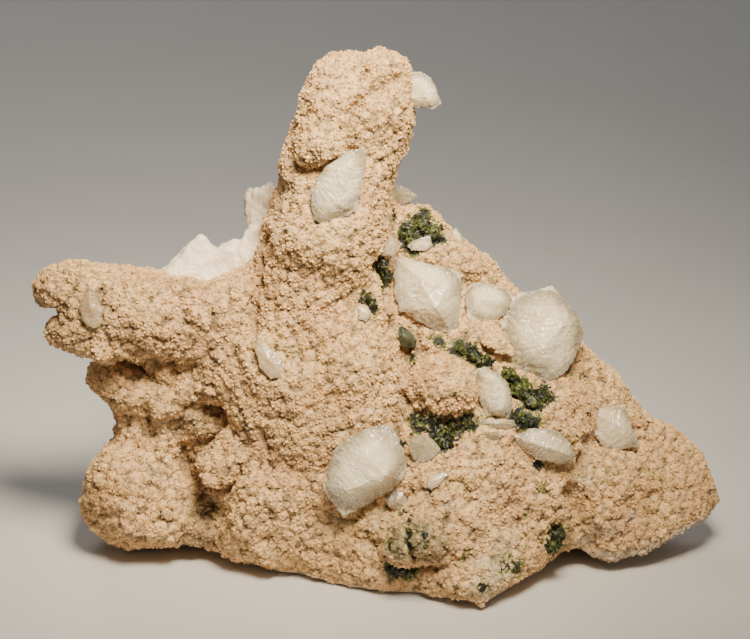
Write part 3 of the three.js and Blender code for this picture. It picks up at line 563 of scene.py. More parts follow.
class NodeSketch:
    """Adds and joins the nodes of one tree."""

    def __init__(self, tree):
        self.tree = tree

    def put(self, socket, value):
        """Gives a socket its value, or links it to the socket that the value comes from."""
        if isinstance(value, bpy.types.NodeSocket):
            self.tree.links.new(value, socket)
        else:
            socket.default_value = value

    def add(self, kind, inputs=None, **values):
        node = self.tree.nodes.new(kind)
        for key, value in values.items():
            setattr(node, key, value)
        for key, value in (inputs or {}).items():
            self.put(node.inputs[key], value)
        return node

    def maths(self, operation, *values, clamp=False):
        inputs = dict(enumerate(values))
        return self.add("ShaderNodeMath", inputs, operation=operation, use_clamp=clamp).outputs[0]

    def times(self, value, factor, clamp=False):
        return self.maths("MULTIPLY", value, factor, clamp=clamp)

    def times_plus(self, value, factor, more):
        return self.maths("MULTIPLY_ADD", value, factor, more)

    def centred(self, value):
        """A value from 0 to 1, moved to lie about 0."""
        return self.maths("SUBTRACT", value, 0.5)

    def blend(self, factor, first, second):
        return self.add("ShaderNodeMix", {0: factor, 6: first, 7: second}, data_type="RGBA").outputs[2]

    def ramp(self, value, low, high):
        inputs = {"Value": value, "From Min": low, "From Max": high}
        return self.add("ShaderNodeMapRange", inputs).outputs[0]

    def attribute(self, name):
        return self.add("ShaderNodeAttribute", attribute_name=name).outputs["Fac"]

    def noise(self, place, scale, detail=3.0, roughness=0.55):
        """Noise from 0 to 1, with about as many waves to a metre as its scale."""
        inputs = {"Vector": place, "Scale": scale, "Detail": detail, "Roughness": roughness}
        return self.add("ShaderNodeTexNoise", inputs).outputs[0]

    def bump(self, height, strength, distance):
        inputs = {"Strength": strength, "Distance": distance, "Height": height}
        return self.add("ShaderNodeBump", inputs).outputs[0]


def new_material(name):
    material = bpy.data.materials.new(name)
    material.use_nodes = True
    material.node_tree.nodes.clear()
    sketch = NodeSketch(material.node_tree)
    shader = sketch.add("ShaderNodeBsdfPrincipled")
    output = sketch.add("ShaderNodeOutputMaterial")
    material.node_tree.links.new(shader.outputs[0], output.inputs[0])
    place = sketch.add("ShaderNodeTexCoord").outputs["Object"]
    return material, sketch, shader, place


def set_shader(sketch, shader, values):
    for name, value in values.items():
        sketch.put(shader.inputs[name], value)


def mineral_tint_group():
    """Lays stain, green, coat, paleness and bare breaks over a crust colour."""
    group = bpy.data.node_groups.get("mineral tint")
    if group:
        return group
    group = bpy.data.node_groups.new("mineral tint", "ShaderNodeTree")
    group.interface.new_socket("Fleck", in_out="INPUT", socket_type="NodeSocketFloat")
    for name in ("Crust", "Stain", "Deep Green", "Bright Green", "Coat", "Pale", "Broken"):
        group.interface.new_socket(name, in_out="INPUT", socket_type="NodeSocketColor")
    group.interface.new_socket("Colour", in_out="OUTPUT", socket_type="NodeSocketColor")
    sketch = NodeSketch(group)
    inputs = sketch.add("NodeGroupInput").outputs
    place = sketch.add("ShaderNodeTexCoord").outputs["Object"]
    fine = sketch.noise(place, 900.0, 4.0)
    broad = sketch.noise(place, 260.0)

    stained = sketch.times(sketch.attribute("stain"), sketch.ramp(broad, 0.25, 0.65), clamp=True)
    colour = sketch.blend(stained, inputs["Crust"], inputs["Stain"])
    coated = sketch.times(sketch.attribute("coat"), sketch.ramp(fine, 0.15, 0.6), clamp=True)
    colour = sketch.blend(sketch.times(coated, 0.85), colour, inputs["Coat"])
    hazed = sketch.times(sketch.attribute("pale"), sketch.ramp(broad, 0.2, 0.7))
    colour = sketch.blend(sketch.times(hazed, 0.7), colour, inputs["Pale"])

    spread = sketch.times_plus(sketch.centred(inputs["Fleck"]), 0.9, sketch.attribute("green"))
    patched = sketch.times_plus(sketch.centred(broad), 0.8, spread)
    depth = sketch.times_plus(sketch.centred(fine), 1.2, sketch.attribute("green"))
    green = sketch.blend(sketch.ramp(depth, 0.35, 0.8), inputs["Bright Green"], inputs["Deep Green"])
    colour = sketch.blend(sketch.ramp(patched, 0.52, 0.66), colour, green)

    dust = sketch.times(sketch.ramp(broad, 0.3, 0.7), 0.65)
    bare = sketch.blend(dust, inputs["Broken"], inputs["Crust"])
    bare = sketch.blend(sketch.times(sketch.ramp(fine, 0.5, 0.75), 0.4), bare, inputs["Stain"])
    colour = sketch.blend(sketch.attribute("broken"), colour, bare)
    group.links.new(colour, sketch.add("NodeGroupOutput").inputs[0])
    return group


def crust_colour(sketch, place, tone, rock, loose):
    """The crust's tan, paler on its grains, rosy in patches, with painted shade in its creases and hollows.
    """
    broad = sketch.ramp(sketch.noise(place, 90.0), 0.3, 0.7)
    mixed = sketch.times_plus(tone, 0.4, sketch.times(sketch.attribute("knob"), 0.25))
    mixed = sketch.maths("ADD", mixed, sketch.times(broad, 0.4))
    crust = sketch.blend(sketch.ramp(mixed, 0.1, 1.0), tuple(rock.middle), tuple(rock.light))
    rosy = sketch.times(sketch.ramp(sketch.noise(place, 150.0), 0.45, 0.65), 0.3)
    crust = sketch.blend(rosy, crust, tuple(rock.rosy))
    # Painted shade: the creases and the hollows are darkened towards the brown of the creases.
    crease_shaded = sketch.times(sketch.attribute("crevice"), 0.7 if loose else 1.0, clamp=True)
    crust = sketch.blend(crease_shaded, crust, tuple(rock.crevice))
    return sketch.blend(sketch.times(sketch.attribute("hollow"), 0.56), crust, tuple(rock.crevice))


def crust_material(name, rock, green, loose):
    """The crust's finish, on the rock's skin or on its loose grains."""
    material, sketch, shader, place = new_material(name)
    fine = sketch.noise(place, 1500.0, 4.0)
    tone = sketch.attribute("tone") if loose else sketch.ramp(fine, 0.3, 0.7)
    tint = sketch.add("ShaderNodeGroup", node_tree=mineral_tint_group())
    set_shader(sketch, tint, {
        "Crust": crust_colour(sketch, place, tone, rock, loose),
        "Fleck": tone,
        "Stain": tuple(rock.stain),
        "Deep Green": tuple(green.deep_green_and_shade),
        "Bright Green": tuple(green.bright),
        "Coat": linear(92, 98, 74),
        "Pale": linear(198, 194, 176),
        "Broken": tuple(rock.broken),
    })
    grit = sketch.noise(place, 3200.0 if loose else 1800.0)
    set_shader(sketch, shader, {
        "Base Color": tint.outputs[0],
        "Roughness": sketch.times_plus(sketch.ramp(fine, 0.0, 1.0), 0.3, 0.48 if loose else 0.5),
        "Normal": sketch.bump(grit, 0.35, 0.08 * MM),
    })
    return material


def calcite_material(settings):
    """Milky calcite: white at heart, greyer and clearer where it is thin, frosted in patches with painted
    sparkle in fine white specks.
    """
    material, sketch, shader, place = new_material("milky calcite")
    cloud = sketch.noise(place, 190.0, 5.0, 0.6)
    grain = sketch.noise(place, 2600.0, 3.0, 0.7)
    thin = sketch.maths("ADD", sketch.attribute("thin"), sketch.times(sketch.centred(cloud), 1.9))
    colour = sketch.blend(sketch.ramp(thin, 0.1, 0.95), tuple(settings.heart), tuple(settings.rim))
    # Frost whitens the crystal in fine specks: real frost, with painted sparkle.
    frosted = sketch.times(sketch.attribute("frosted"), sketch.ramp(grain, 0.35, 0.6))
    colour = sketch.blend(sketch.times(frosted, 0.6), colour, linear(255, 248, 232))
    colour = sketch.blend(sketch.attribute("dusty"), colour, linear(214, 176, 130))
    height = sketch.times_plus(grain, 0.6, sketch.times(sketch.noise(place, 900.0), 0.8))
    set_shader(sketch, shader, {
        "Base Color": colour,
        "Roughness": sketch.times_plus(sketch.ramp(grain, 0.3, 0.7), 0.3, 0.14),
        "Normal": sketch.bump(height, 0.5, 0.12 * MM),
        "Transmission Weight": sketch.times_plus(sketch.attribute("thin"), 0.4, 0.08),
        "IOR": 1.6,
        "Coat Weight": 0.35,
        "Coat Roughness": 0.08,
        "Subsurface Weight": 0.5,
        "Subsurface Radius": (1.0, 0.9, 0.72),
        "Subsurface Scale": 1.2 * MM,
    })
    return material


def green_material(settings, loose):
    """Dark green crystals, some of them olive or yellow-green."""
    material, sketch, shader, place = new_material("green crystals" if loose else "green crust")
    patch = sketch.noise(place, 420.0, 4.0)
    tone = sketch.attribute("tone") if loose else sketch.noise(place, 1400.0)
    lit = sketch.times_plus(tone, 0.5, sketch.times(sketch.ramp(patch, 0.35, 0.75), 0.5))
    colour = sketch.blend(sketch.ramp(lit, 0.35, 1.0), tuple(settings.deep_green_and_shade), tuple(settings.bright))
    grit = sketch.noise(place, 2400.0)
    set_shader(sketch, shader, {
        "Base Color": colour,
        "Roughness": sketch.times_plus(grit, 0.3, 0.36),
        "Normal": sketch.bump(grit, 0.5, 0.08 * MM),
    })
    return material


def ledge_material(settings):
    """Chalky white broken rock, greyer in patches and layers, with painted shade greying its upper fin."""
    material, sketch, shader, place = new_material("broken white rock")
    squeezed = sketch.add(
        "ShaderNodeMapping", {"Vector": place, "Rotation": (0.3, 0.5, 0.2), "Scale": (1, 1, 3.2)}
    )
    layers = sketch.noise(squeezed.outputs[0], 420.0, 4.0)
    broad = sketch.ramp(sketch.noise(place, 160.0, 4.0), 0.42, 0.7)
    # Painted shade on the fin, added to the real dull patches and layers.
    dull_and_shade = sketch.maths("ADD", sketch.attribute("fin"), sketch.times(broad, 0.5))
    layered = sketch.times(sketch.ramp(layers, 0.5, 0.75), 0.4)
    dull_and_shade = sketch.maths("ADD", dull_and_shade, layered, clamp=True)
    height = sketch.maths("ADD", layers, sketch.times(sketch.noise(place, 1600.0), 0.5))
    set_shader(sketch, shader, {
        "Base Color": sketch.blend(dull_and_shade, tuple(settings.bright), tuple(settings.dull_and_shaded)),
        "Roughness": sketch.times_plus(layers, 0.3, 0.5),
        "Normal": sketch.bump(height, 0.6, 0.15 * MM),
        "Subsurface Weight": 0.2,
        "Subsurface Radius": (1.0, 0.9, 0.75),
        "Subsurface Scale": 0.8 * MM,
    })
    return material


def dark_crystal_material():
    """A dark grey-green crystal with a few clean faces."""
    material, sketch, shader, place = new_material("dark crystal")
    cloud = sketch.noise(place, 700.0, 4.0)
    set_shader(sketch, shader, {
        "Base Color": sketch.blend(sketch.ramp(cloud, 0.35, 0.7), linear(40, 44, 36), linear(92, 98, 78)),
        "Roughness": sketch.times_plus(cloud, 0.3, 0.25),
        "Normal": sketch.bump(cloud, 0.4, 0.1 * MM),
    })
    return material


def floor_material(settings):
    material, sketch, shader, place = new_material("studio floor")
    faint = sketch.ramp(sketch.noise(place, 30.0), 0.3, 0.7)
    shade = tuple(0.96 * value for value in settings.floor[:3]) + (1.0,)
    colour = sketch.blend(faint, tuple(settings.floor), shade)
    set_shader(sketch, shader, {"Base Color": colour, "Roughness": 0.7})
    return material


# Scattered crystals

def scatter_group():
    """Covers a surface with small realised rhombs, as thickly as its cover attribute says."""
    group = bpy.data.node_groups.get("crystal scatter")
    if group:
        return group
    group = bpy.data.node_groups.new("crystal scatter", "GeometryNodeTree")
    group.is_modifier = True
    face = group.interface
    face.new_socket("Geometry", in_out="INPUT", socket_type="NodeSocketGeometry")
    for name in ("Spacing", "Smallest", "Largest", "Stretch", "Lean", "Density"):
        face.new_socket(name, in_out="INPUT", socket_type="NodeSocketFloat")
    face.new_socket("Seed", in_out="INPUT", socket_type="NodeSocketInt")
    face.new_socket("Material", in_out="INPUT", socket_type="NodeSocketMaterial")
    face.new_socket("Geometry", in_out="OUTPUT", socket_type="NodeSocketGeometry")
    sketch = NodeSketch(group)
    inputs = sketch.add("NodeGroupInput").outputs
    spread = spread_points(sketch, inputs)
    placed = sketch.add("GeometryNodeInstanceOnPoints", {
        "Points": spread.outputs["Points"],
        "Instance": rhomb(sketch, inputs["Stretch"]),
        "Rotation": leaning(sketch, spread.outputs["Rotation"], inputs["Lean"]),
        "Scale": chance(sketch, inputs["Smallest"], inputs["Largest"], 5),
    }).outputs[0]
    toned = sketch.add(
        "GeometryNodeStoreNamedAttribute",
        {"Geometry": placed, "Name": "tone", "Value": chance(sketch, 0.0, 1.0, 9)},
        data_type="FLOAT", domain="INSTANCE",
    ).outputs[0]
    real = sketch.add("GeometryNodeRealizeInstances", {"Geometry": toned}).outputs[0]
    done = sketch.add("GeometryNodeSetMaterial", {"Geometry": real, "Material": inputs["Material"]})
    group.links.new(done.outputs[0], sketch.add("NodeGroupOutput").inputs[0])
    return group


def chance(sketch, low, high, seed):
    """A random number for each point."""
    return sketch.add("FunctionNodeRandomValue", {2: low, 3: high, "Seed": seed}).outputs[1]


def spread_points(sketch, inputs):
    """Points strewn over the surface, none nearer another than the spacing."""
    cover = sketch.add("GeometryNodeInputNamedAttribute", {"Name": "cover"}, data_type="FLOAT").outputs[0]
    return sketch.add(
        "GeometryNodeDistributePointsOnFaces",
        {"Mesh": inputs["Geometry"], "Distance Min": inputs["Spacing"], "Density Max": inputs["Density"],
         "Density Factor": cover, "Seed": inputs["Seed"]},
        distribute_method="POISSON",
    )


def rhomb(sketch, stretch):
    """A cube about 1 from corner to corner, stood on a corner and stretched."""
    cube = sketch.add("GeometryNodeMeshCube", {"Size": (0.577, 0.577, 0.577)}).outputs[0]
    on_corner = (math.radians(45), math.atan(math.sqrt(0.5)), 0)
    upright = sketch.add("GeometryNodeTransform", {"Geometry": cube, "Rotation": on_corner}).outputs[0]
    tall = sketch.add("ShaderNodeCombineXYZ", {"X": 1.0, "Y": 1.0, "Z": stretch}).outputs[0]
    return sketch.add("GeometryNodeTransform", {"Geometry": upright, "Scale": tall}).outputs[0]


def leaning(sketch, facing, lean):
    """The surface's own direction, turned about itself and leaned over at random."""
    turned = sketch.times(lean, -1.0)
    low = sketch.add("ShaderNodeCombineXYZ", {"X": turned, "Y": turned, "Z": 0.0}).outputs[0]
    high = sketch.add("ShaderNodeCombineXYZ", {"X": lean, "Y": lean, "Z": math.tau}).outputs[0]
    swing = sketch.add("FunctionNodeRandomValue", {0: low, 1: high, "Seed": 3}, data_type="FLOAT_VECTOR")
    swung = sketch.add("FunctionNodeEulerToRotation", {0: swing.outputs[0]}).outputs[0]
    inputs = {"Rotation": facing, "Rotate By": swung}
    return sketch.add("FunctionNodeRotateRotation", inputs, rotation_space="LOCAL").outputs[0]


def scattered(surface, material, **values):
    """The crystals scattered over a surface mesh, as one plain mesh."""
    holder = shown("scatter", surface)
    modifier = holder.modifiers.new("scatter", "NODES")
    modifier.node_group = scatter_group()
    values["Material"] = material
    for item in modifier.node_group.interface.items_tree:
        if item.in_out == "INPUT" and item.name in values:
            modifier[item.identifier] = values[item.name]
    holder.data.update()
    return evaluated(holder)


# The rock

def closed_rock():
    """The rock's solid with the sockets of its growths filled over."""
    form = merged_copy("dolomite_rock")
    tree = tree_round(*GROWTHS)
    near = {vertex: tree.find_nearest(vertex.co)[3] < SOCKET_REACH for vertex in form.verts}
    walls = [face for face in form.faces if all(near[vertex] for vertex in face.verts)]
    bmesh.ops.delete(form, geom=walls, context="FACES")
    for _ in range(3):
        open_edges = [edge for edge in form.edges if len(edge.link_faces) == 1]
        if not open_edges:
            break
        bmesh.ops.holes_fill(form, edges=open_edges, sides=0)
    bmesh.ops.triangulate(form, faces=[face for face in form.faces if len(face.verts) > 3])
    bmesh.ops.recalc_face_normals(form, faces=form.faces)
    return to_mesh(form, "rock")


def bareness(points):
    """From 0 on the crusted front to 1 on the broken back and the foot."""
    wander = np.array([noise.noise(Vector(p) / (5 * MM)) for p in points])
    lean, rise = math.cos(BACK_LEAN), math.sin(BACK_LEAN)
    behind = points[:, 1] * lean + points[:, 2] * rise - BACK_FOOT * lean
    back = np.clip((behind / MM + 2.2 + 1.6 * wander) / 1.2, 0, 1)
    foot = np.clip(1.4 + 1.0 * wander - points[:, 2] / MM, 0, 1)
    return np.maximum(back, foot)


def hollow_shade_share(mesh, points):
    """From 0 to 1, how far each point lies below the surface round about it, for painted shade in the
    hollows.
    """
    broad = smoothed(points, edges_of(mesh), 70)
    below = np.einsum("ij,ij->i", broad - points, broad_normals(mesh, 20))
    return np.clip(below / (1.1 * MM) - 0.15, 0, 1)


def shaped_rock(detail):
    """The rock's closed solid, rounded, with the front's lumps, hollows and creases worked in."""
    mesh = voxelled(closed_rock(), "rough rock", ROUGH_STEP)
    evened(mesh, 6)
    points = points_of(mesh)
    out, _ = front_relief(points, tree_of(mesh, points))
    out *= 1 - bareness(points)
    set_points(mesh, points + broad_normals(mesh, 8) * out[:, None])
    mesh = voxelled(mesh, "rock skin", detail)
    evened(mesh, 2)
    return mesh


def broken_relief(point, swell, height):
    """How far bare rock stands out at a point, how deep in a crack it lies, and no knob's number."""
    ridge = 1 - 2 * abs(noise.noise(point / (4 * MM)))
    chipped = noise.voronoi(point / (1.9 * MM))[0][0]
    out = height * (0.6 * swell + 0.45 * ridge + 0.35 * chipped - 0.6)
    return out, 0.5 * max(0.0, 0.5 - ridge), 0.0


def crust_relief(point, swell, settings, share):
    """How far the crust stands out at a point, how deep in a crease it lies, and its knob's number."""
    top, between, knob = knobs(point, settings.cluster, 0.35)
    small, small_between, _ = knobs(point, settings.grain, 0.25)
    bumps = settings.cluster_height * (top - 0.8) + settings.grain_height * (small - 0.8)
    lumps = 0.5 * swell + 0.3 * noise.noise(point / (2.6 * MM))
    crease = 0.85 * between * (1.15 - top) * 2 + 0.25 * small_between
    return share * bumps + settings.swell * lumps, crease, knob


def surface_relief(points, broken, settings):
    """For all points, how far they stand out, how deep in a crease they lie, and their knobs' numbers."""
    rows = np.empty((len(points), 3))
    for index, place in enumerate(points):
        point = Vector(place)
        swell = swells(point, 5 * MM)
        if broken[index] > 0.98:
            rows[index] = broken_relief(point, swell, settings.swell)
        else:
            rows[index] = crust_relief(point, swell, settings, 1 - broken[index])
    return rows.T


def mark_rock(mesh, points, normals, broken, deepest):
    """Stores how green, stained, coated, pale and broken each point is, and how much painted shade its
    hollows get.
    """
    tree = tree_of(mesh, points)
    to_green = distances_to(points, tree_round(*GREENS))
    green = np.maximum(np.clip(0.95 - to_green / 1.7, 0, 1), spot_mask(points, tree, GREENED))
    coat = spot_mask(points, tree, COATED)
    under = np.clip((-normals[:, 2] - 0.2) / 0.3, 0, 1) * np.clip(points[:, 0] / (2 * MM) - 17, 0, 1)
    bare = np.maximum(np.maximum(broken, 0.8 * under), spot_mask(points, tree, RIMMED))
    # Painted shade: the hollows, and the listed shaded spots, are darkened towards the brown of the creases.
    hollow = np.maximum(0.7 * hollow_shade_share(mesh, points), spot_mask(points, tree, SHADED_HOLLOWS))
    store(mesh, "green", np.maximum(green, 1.7 * coat * deepest))
    store(mesh, "stain", spot_mask(points, tree, STAINS))
    store(mesh, "coat", coat)
    store(mesh, "pale", spot_mask(points, tree, PALED))
    store(mesh, "broken", bare)
    store(mesh, "hollow", hollow)


def rock_skin(settings):
    """The rock's fine mesh with its crust of knobs, and what its material and its grains read from it."""
    mesh = shaped_rock(settings.detail)
    points = points_of(mesh)
    normals = broad_normals(mesh, 4)
    broken = bareness(points)
    _, deepest = front_relief(points, tree_of(mesh, points))
    out, crease, knob = surface_relief(points, broken, settings)
    to_growth = distances_to(points, tree_round(*GROWTHS))
    out = np.where(out > 0, out * np.clip(to_growth / 2 - 0.1, 0, 1), out)
    grounded = np.clip(points[:, 2] / (1.2 * MM), 0, 1)
    points = points + normals * (out * grounded)[:, None]
    points[:, 2] = np.maximum(points[:, 2], 0)
    set_points(mesh, points)

    mark_rock(mesh, points, normals, broken, deepest)
    # The creases' share, stored as painted shade that darkens the creases.
    crease = np.clip(np.maximum(crease, 0.6 * deepest), 0, 1)
    crusted = np.clip(1 - 1.4 * broken, 0, 1)
    store(mesh, "knob", knob)
    store(mesh, "crevice", crease)
    store(mesh, "cover", crusted * (1 - 0.35 * crease) * np.clip(to_growth, 0.1, 1))
    return mesh


class SPECIMEN_OT_rock(bpy.types.Operator):
    """Builds the crusted rock and its loose grains"""

    bl_idname = "specimen.build_rock"
    bl_label = "Crusted Rock"

    def build_skins(self, skin, across, bare, finish):
        left = across < SKIN_SPLIT
        skins = {
            "crusted_rock_left": left & ~bare,
            "crusted_rock_right": ~left & ~bare,
            "broken_back": bare,
        }
        for name, kept in skins.items():
            finish_piece(name, part_of(skin, kept, name), finish, "dolomite", "dolomite_rock")

    def build_grains(self, skin, middles, crusted, grain, finish):
        across, low = middles[:, 0], middles[:, 2] <= SPIRE_FOOT
        regions = {
            "spire": ~low,
            "left": low & (across < GRAIN_SPLITS[0]),
            "middle": low & (across >= GRAIN_SPLITS[0]) & (across < GRAIN_SPLITS[1]),
            "right": low & (across >= GRAIN_SPLITS[1]),
        }
        for number, (name, kept) in enumerate(regions.items()):
            surface = part_of(skin, kept & crusted, "surface " + name)
            grains = scattered(
                surface, finish, Spacing=grain.spacing, Smallest=grain.smallest, Largest=grain.largest,
                Stretch=grain.stretch, Lean=0.9, Density=5.5e6, Seed=grain.seed + number,
            )
            bpy.data.meshes.remove(surface)
            finish_piece("crust_grains_" + name, grains, finish, "dolomite")

    def execute(self, context):
        scene = context.scene
        rock, grain, green = scene.specimen_rock, scene.specimen_grain, scene.specimen_green
        skin = rock_skin(rock)
        middles = face_centres(skin) / MM
        bare = bareness(middles * MM) > 0.6
        self.build_skins(skin, middles[:, 0], bare, crust_material("crusted rock", rock, green, False))
        self.build_grains(skin, middles, ~bare, grain, crust_material("crust grains", rock, green, True))
        bpy.data.meshes.remove(skin)
        return {"FINISHED"}


# The crystals

def fine_crystal(name, detail):
    """A crystal's solid, with its faces split until their edges are about as short as the detail."""
    form = merged_copy(name)
    bmesh.ops.triangulate(form, faces=form.faces)
    for _ in range(7):
        long_edges = [edge for edge in form.edges if edge.calc_length() > detail * 1.5]
        if not long_edges:
            break
        bmesh.ops.subdivide_edges(form, edges=long_edges, cuts=1)
        bmesh.ops.triangulate(form, faces=[face for face in form.faces if len(face.verts) > 3])
    return to_mesh(form, name)


def frost_at(point, edge):
    """From 0 to 1, how much frost a crystal has at a point, where the material also paints sparkle."""
    return min(1.0, max(0.0, 0.15 + 1.8 * noise.noise(point / (1.8 * MM)) + 0.5 * edge))


def growth_ripple(point, along):
    """The height of a crystal's growth ripples at a point, given its place along the crystal's own axes."""
    terrace = noise.voronoi(point / (2.2 * MM))[0][0] - 0.4
    line = noise.noise(Vector((along[0], along[1] * 0.25, along[2])) / (0.5 * MM))
    return noise.noise(point / (2 * MM)) + 0.8 * terrace + 0.9 * line


def crystal_form(name, settings):
    """A crystal's solid with growth ripples, a frayed rim and frost, and how thin each point is."""
    mesh = fine_crystal(name, settings.detail)
    evened(mesh, settings.rounding)
    soft = points_of(mesh)
    normals = normals_of(mesh)
    spread = soft - soft.mean(axis=0)
    _, axes = np.linalg.eigh(spread.T @ spread)
    along = spread @ axes
    limits = np.percentile(np.abs(along), 98, axis=0)
    rim = np.sqrt((along[:, 1] / limits[1]) ** 2 + (along[:, 2] / limits[2]) ** 2)
    outward = spread / np.maximum(np.linalg.norm(spread, axis=1), 1e-9)[:, None]
    scale = min(1.0, limits[2] / (5 * MM))
    draws = np.random.default_rng(len(soft))
    moved = np.empty_like(soft)
    frosted = np.empty(len(soft))
    for index, place in enumerate(soft):
        point = Vector(place)
        edge = max(0.0, rim[index] - 0.75)
        frosted[index] = frost_at(point, edge)
        ripple = settings.ripple * scale * growth_ripple(point, along[index])
        frost = settings.frost * (0.15 + frosted[index]) * draws.normal()
        fray = settings.frill * scale ** 2 * edge * 2.5 * noise.noise(point / (0.8 * MM))
        moved[index] = place + normals[index] * (ripple + frost) + outward[index] * fray
    set_points(mesh, moved)
    thin = np.clip((rim - 0.55) / 0.5, 0, 1) * np.clip((1.12 - rim) / 0.12, 0.2, 1)
    store(mesh, "thin", np.maximum(thin, GLASSY.get(name, 0.0)))
    store(mesh, "frosted", frosted)
    return mesh


class SPECIMEN_OT_calcite(bpy.types.Operator):
    """Builds the milky calcite crystals"""

    bl_idname = "specimen.build_calcite"
    bl_label = "Calcite Crystals"

    def execute(self, context):
        settings = context.scene.specimen_calcite
        material = calcite_material(settings)
        for name in CALCITES:
            mesh = crystal_form(name, settings)
            mesh.shade_flat()
            store(mesh, "dusty", np.full(len(mesh.vertices), DUSTY.get(name, 0.0)))
            finish_piece("milky_" + name, mesh, material, "calcite", name)
        return {"FINISHED"}


def green_mesh():
    """The green crusts as one mesh, crowded with small knobs."""
    mesh = voxelled(to_mesh(merged_copy(*GREENS), "green crusts"), "green crusts", GREEN_STEP)
    points = smoothed(points_of(mesh), edges_of(mesh), 5)
    set_points(mesh, points)
    normals = normals_of(mesh)
    out = np.array([1.1 * MM * (knobs(Vector(p), 1.2 * MM, 0.3)[0] - 0.92) for p in points])
    set_points(mesh, points + normals * out[:, None])
    store(mesh, "cover", np.ones(len(points)))
    mesh.shade_smooth()
    return mesh


class SPECIMEN_OT_green(bpy.types.Operator):
    """Builds the green crusts and their tiny crystals"""

    bl_idname = "specimen.build_green"
    bl_label = "Green Crusts"

    def execute(self, context):
        settings = context.scene.specimen_green
        mesh = green_mesh()
        loose = green_material(settings, True)
        size = settings.grain
        grains = scattered(
            mesh, loose, Spacing=0.7 * size, Smallest=0.5 * size, Largest=1.5 * size,
            Stretch=1.6, Lean=0.8, Density=6e6, Seed=21,
        )
        finish_piece("green_crusts", mesh, green_material(settings, False), "green_crust", *GREENS)
        finish_piece("green_crystals", grains, loose, "green_crust")
        return {"FINISHED"}


def ledge_relief(point):
    """How far the ledge's flakes, splinters and grit stand out at a point, over their usual height."""
    splinter = noise.noise(Vector((point.x, point.y, point.z * 0.2)) / (0.7 * MM))
    flake = 1.5 - 4 * abs(noise.noise(point / (3.6 * MM))) + 0.8 * noise.noise(point / (1.5 * MM))
    high = min(1.0, max(0.0, (point.z / MM - FIN_FOOT) / 4))
    grit = 0.4 * noise.noise(point / (0.5 * MM))
    return flake + (0.5 + 1.2 * high) * splinter + grit


class SPECIMEN_OT_ledge(bpy.types.Operator):
    """Builds the broken white ledge"""

    bl_idname = "specimen.build_ledge"
    bl_label = "White Ledge"

    def execute(self, context):
        settings = context.scene.specimen_ledge
        mesh = voxelled(to_mesh(merged_copy("white_broken_ledge"), "ledge"), "ledge", settings.detail)
        points = smoothed(points_of(mesh), edges_of(mesh), 2)
        set_points(mesh, points)
        normals = normals_of(mesh)
        out = np.array([settings.rough * ledge_relief(Vector(p)) for p in points])
        set_points(mesh, points + normals * out[:, None])
        mesh.shade_flat()
        # How far up the fin each point is, for the painted shade that greys the fin.
        store(mesh, "fin", np.clip((points[:, 2] / MM - FIN_FOOT - 1.5) / 3, 0, 1))
        finish_piece("white_ledge", mesh, ledge_material(settings), "broken_white", "white_broken_ledge")
        return {"FINISHED"}


class SPECIMEN_OT_dark_crystal(bpy.types.Operator):
    """Gives the small dark crystal its worn faces"""

    bl_idname = "specimen.build_dark_crystal"
    bl_label = "Dark Crystal"

    def execute(self, context):
        mesh = crystal_form("dark_crystal", context.scene.specimen_calcite)
        mesh.shade_smooth()
        finish_piece("dark_grain", mesh, dark_crystal_material(), "dark_crystal", "dark_crystal")
        return {"FINISHED"}


# The stage

def lay_floor(settings):
    mesh = bpy.data.meshes.new("floor")
    reach = FLOOR_REACH
    corners = [(-reach, -reach, 0), (reach, -reach, 0), (reach, reach, 0), (-reach, reach, 0)]
    mesh.from_pydata(corners, [], [(0, 1, 2, 3)])
    mesh.materials.append(floor_material(settings))
    shown("floor", mesh)


def set_lights(settings):
    for name, place, size, tint, spread in LIGHTS:
        light = bpy.data.lights.new(name + " light", "AREA")
        light.shape = "DISK"
        light.size = size
        light.energy = getattr(settings, name)
        light.color = tint
        light.spread = math.radians(spread)
        lamp = shown(name + " light", light)
        lamp.location = place
        lamp.rotation_euler = (LIT - Vector(place)).to_track_quat("-Z", "Y").to_euler()


def set_surroundings(scene, settings):
    world = bpy.data.worlds.new("surroundings")
    world.use_nodes = True
    background = world.node_tree.nodes["Background"]
    background.inputs["Color"].default_value = linear(236, 236, 238)
    background.inputs["Strength"].default_value = settings.sky
    scene.world = world


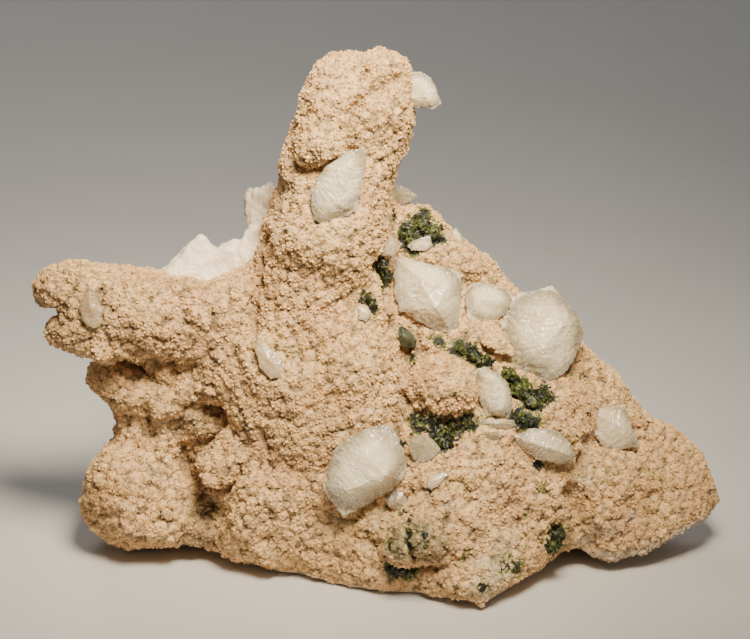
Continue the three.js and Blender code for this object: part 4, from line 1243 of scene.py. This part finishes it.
def set_camera(scene):
    camera = bpy.data.cameras.new("camera")
    camera.sensor_width = SENSOR
    camera.lens = SENSOR * SIGHT_DISTANCE / FRAME_WIDTH
    camera.clip_start = 0.01
    eye = shown("camera", camera)
    eye.location = EYE
    eye.rotation_euler = SIGHT.to_track_quat("-Z", "Y").to_euler()
    scene.camera = eye


class SPECIMEN_OT_stage(bpy.types.Operator):
    """Lays the floor and sets the lights and the camera"""

    bl_idname = "specimen.build_stage"
    bl_label = "Stage"

    def execute(self, context):
        settings = context.scene.specimen_stage
        lay_floor(settings)
        set_lights(settings)
        set_surroundings(context.scene, settings)
        set_camera(context.scene)
        return {"FINISHED"}


OPERATORS = (
    SPECIMEN_OT_rock,
    SPECIMEN_OT_calcite,
    SPECIMEN_OT_green,
    SPECIMEN_OT_ledge,
    SPECIMEN_OT_dark_crystal,
    SPECIMEN_OT_stage,
)


class SPECIMEN_PT_panel(bpy.types.Panel):
    """Lists the specimen's pieces and their settings"""

    bl_idname = "SPECIMEN_PT_panel"
    bl_label = "Dolomite Specimen"
    bl_space_type = "VIEW_3D"
    bl_region_type = "UI"
    bl_category = "Specimen"

    def draw(self, context):
        for name, group in SETTINGS.items():
            box = self.layout.box()
            for key in group.__annotations__:
                box.prop(getattr(context.scene, name), key)
        for operator in OPERATORS:
            self.layout.operator(operator.bl_idname)


def register():
    for name, group in SETTINGS.items():
        bpy.utils.register_class(group)
        setattr(bpy.types.Scene, name, bpy.props.PointerProperty(type=group))
    for operator in OPERATORS:
        bpy.utils.register_class(operator)
    bpy.utils.register_class(SPECIMEN_PT_panel)


def unregister():
    bpy.utils.unregister_class(SPECIMEN_PT_panel)
    for operator in reversed(OPERATORS):
        bpy.utils.unregister_class(operator)
    for name, group in reversed(SETTINGS.items()):
        delattr(bpy.types.Scene, name)
        bpy.utils.unregister_class(group)


def main():
    register()
    bpy.ops.specimen.build_rock()
    bpy.ops.specimen.build_calcite()
    bpy.ops.specimen.build_green()
    bpy.ops.specimen.build_ledge()
    bpy.ops.specimen.build_dark_crystal()
    bpy.ops.specimen.build_stage()


if __name__ == "__main__":
    main()
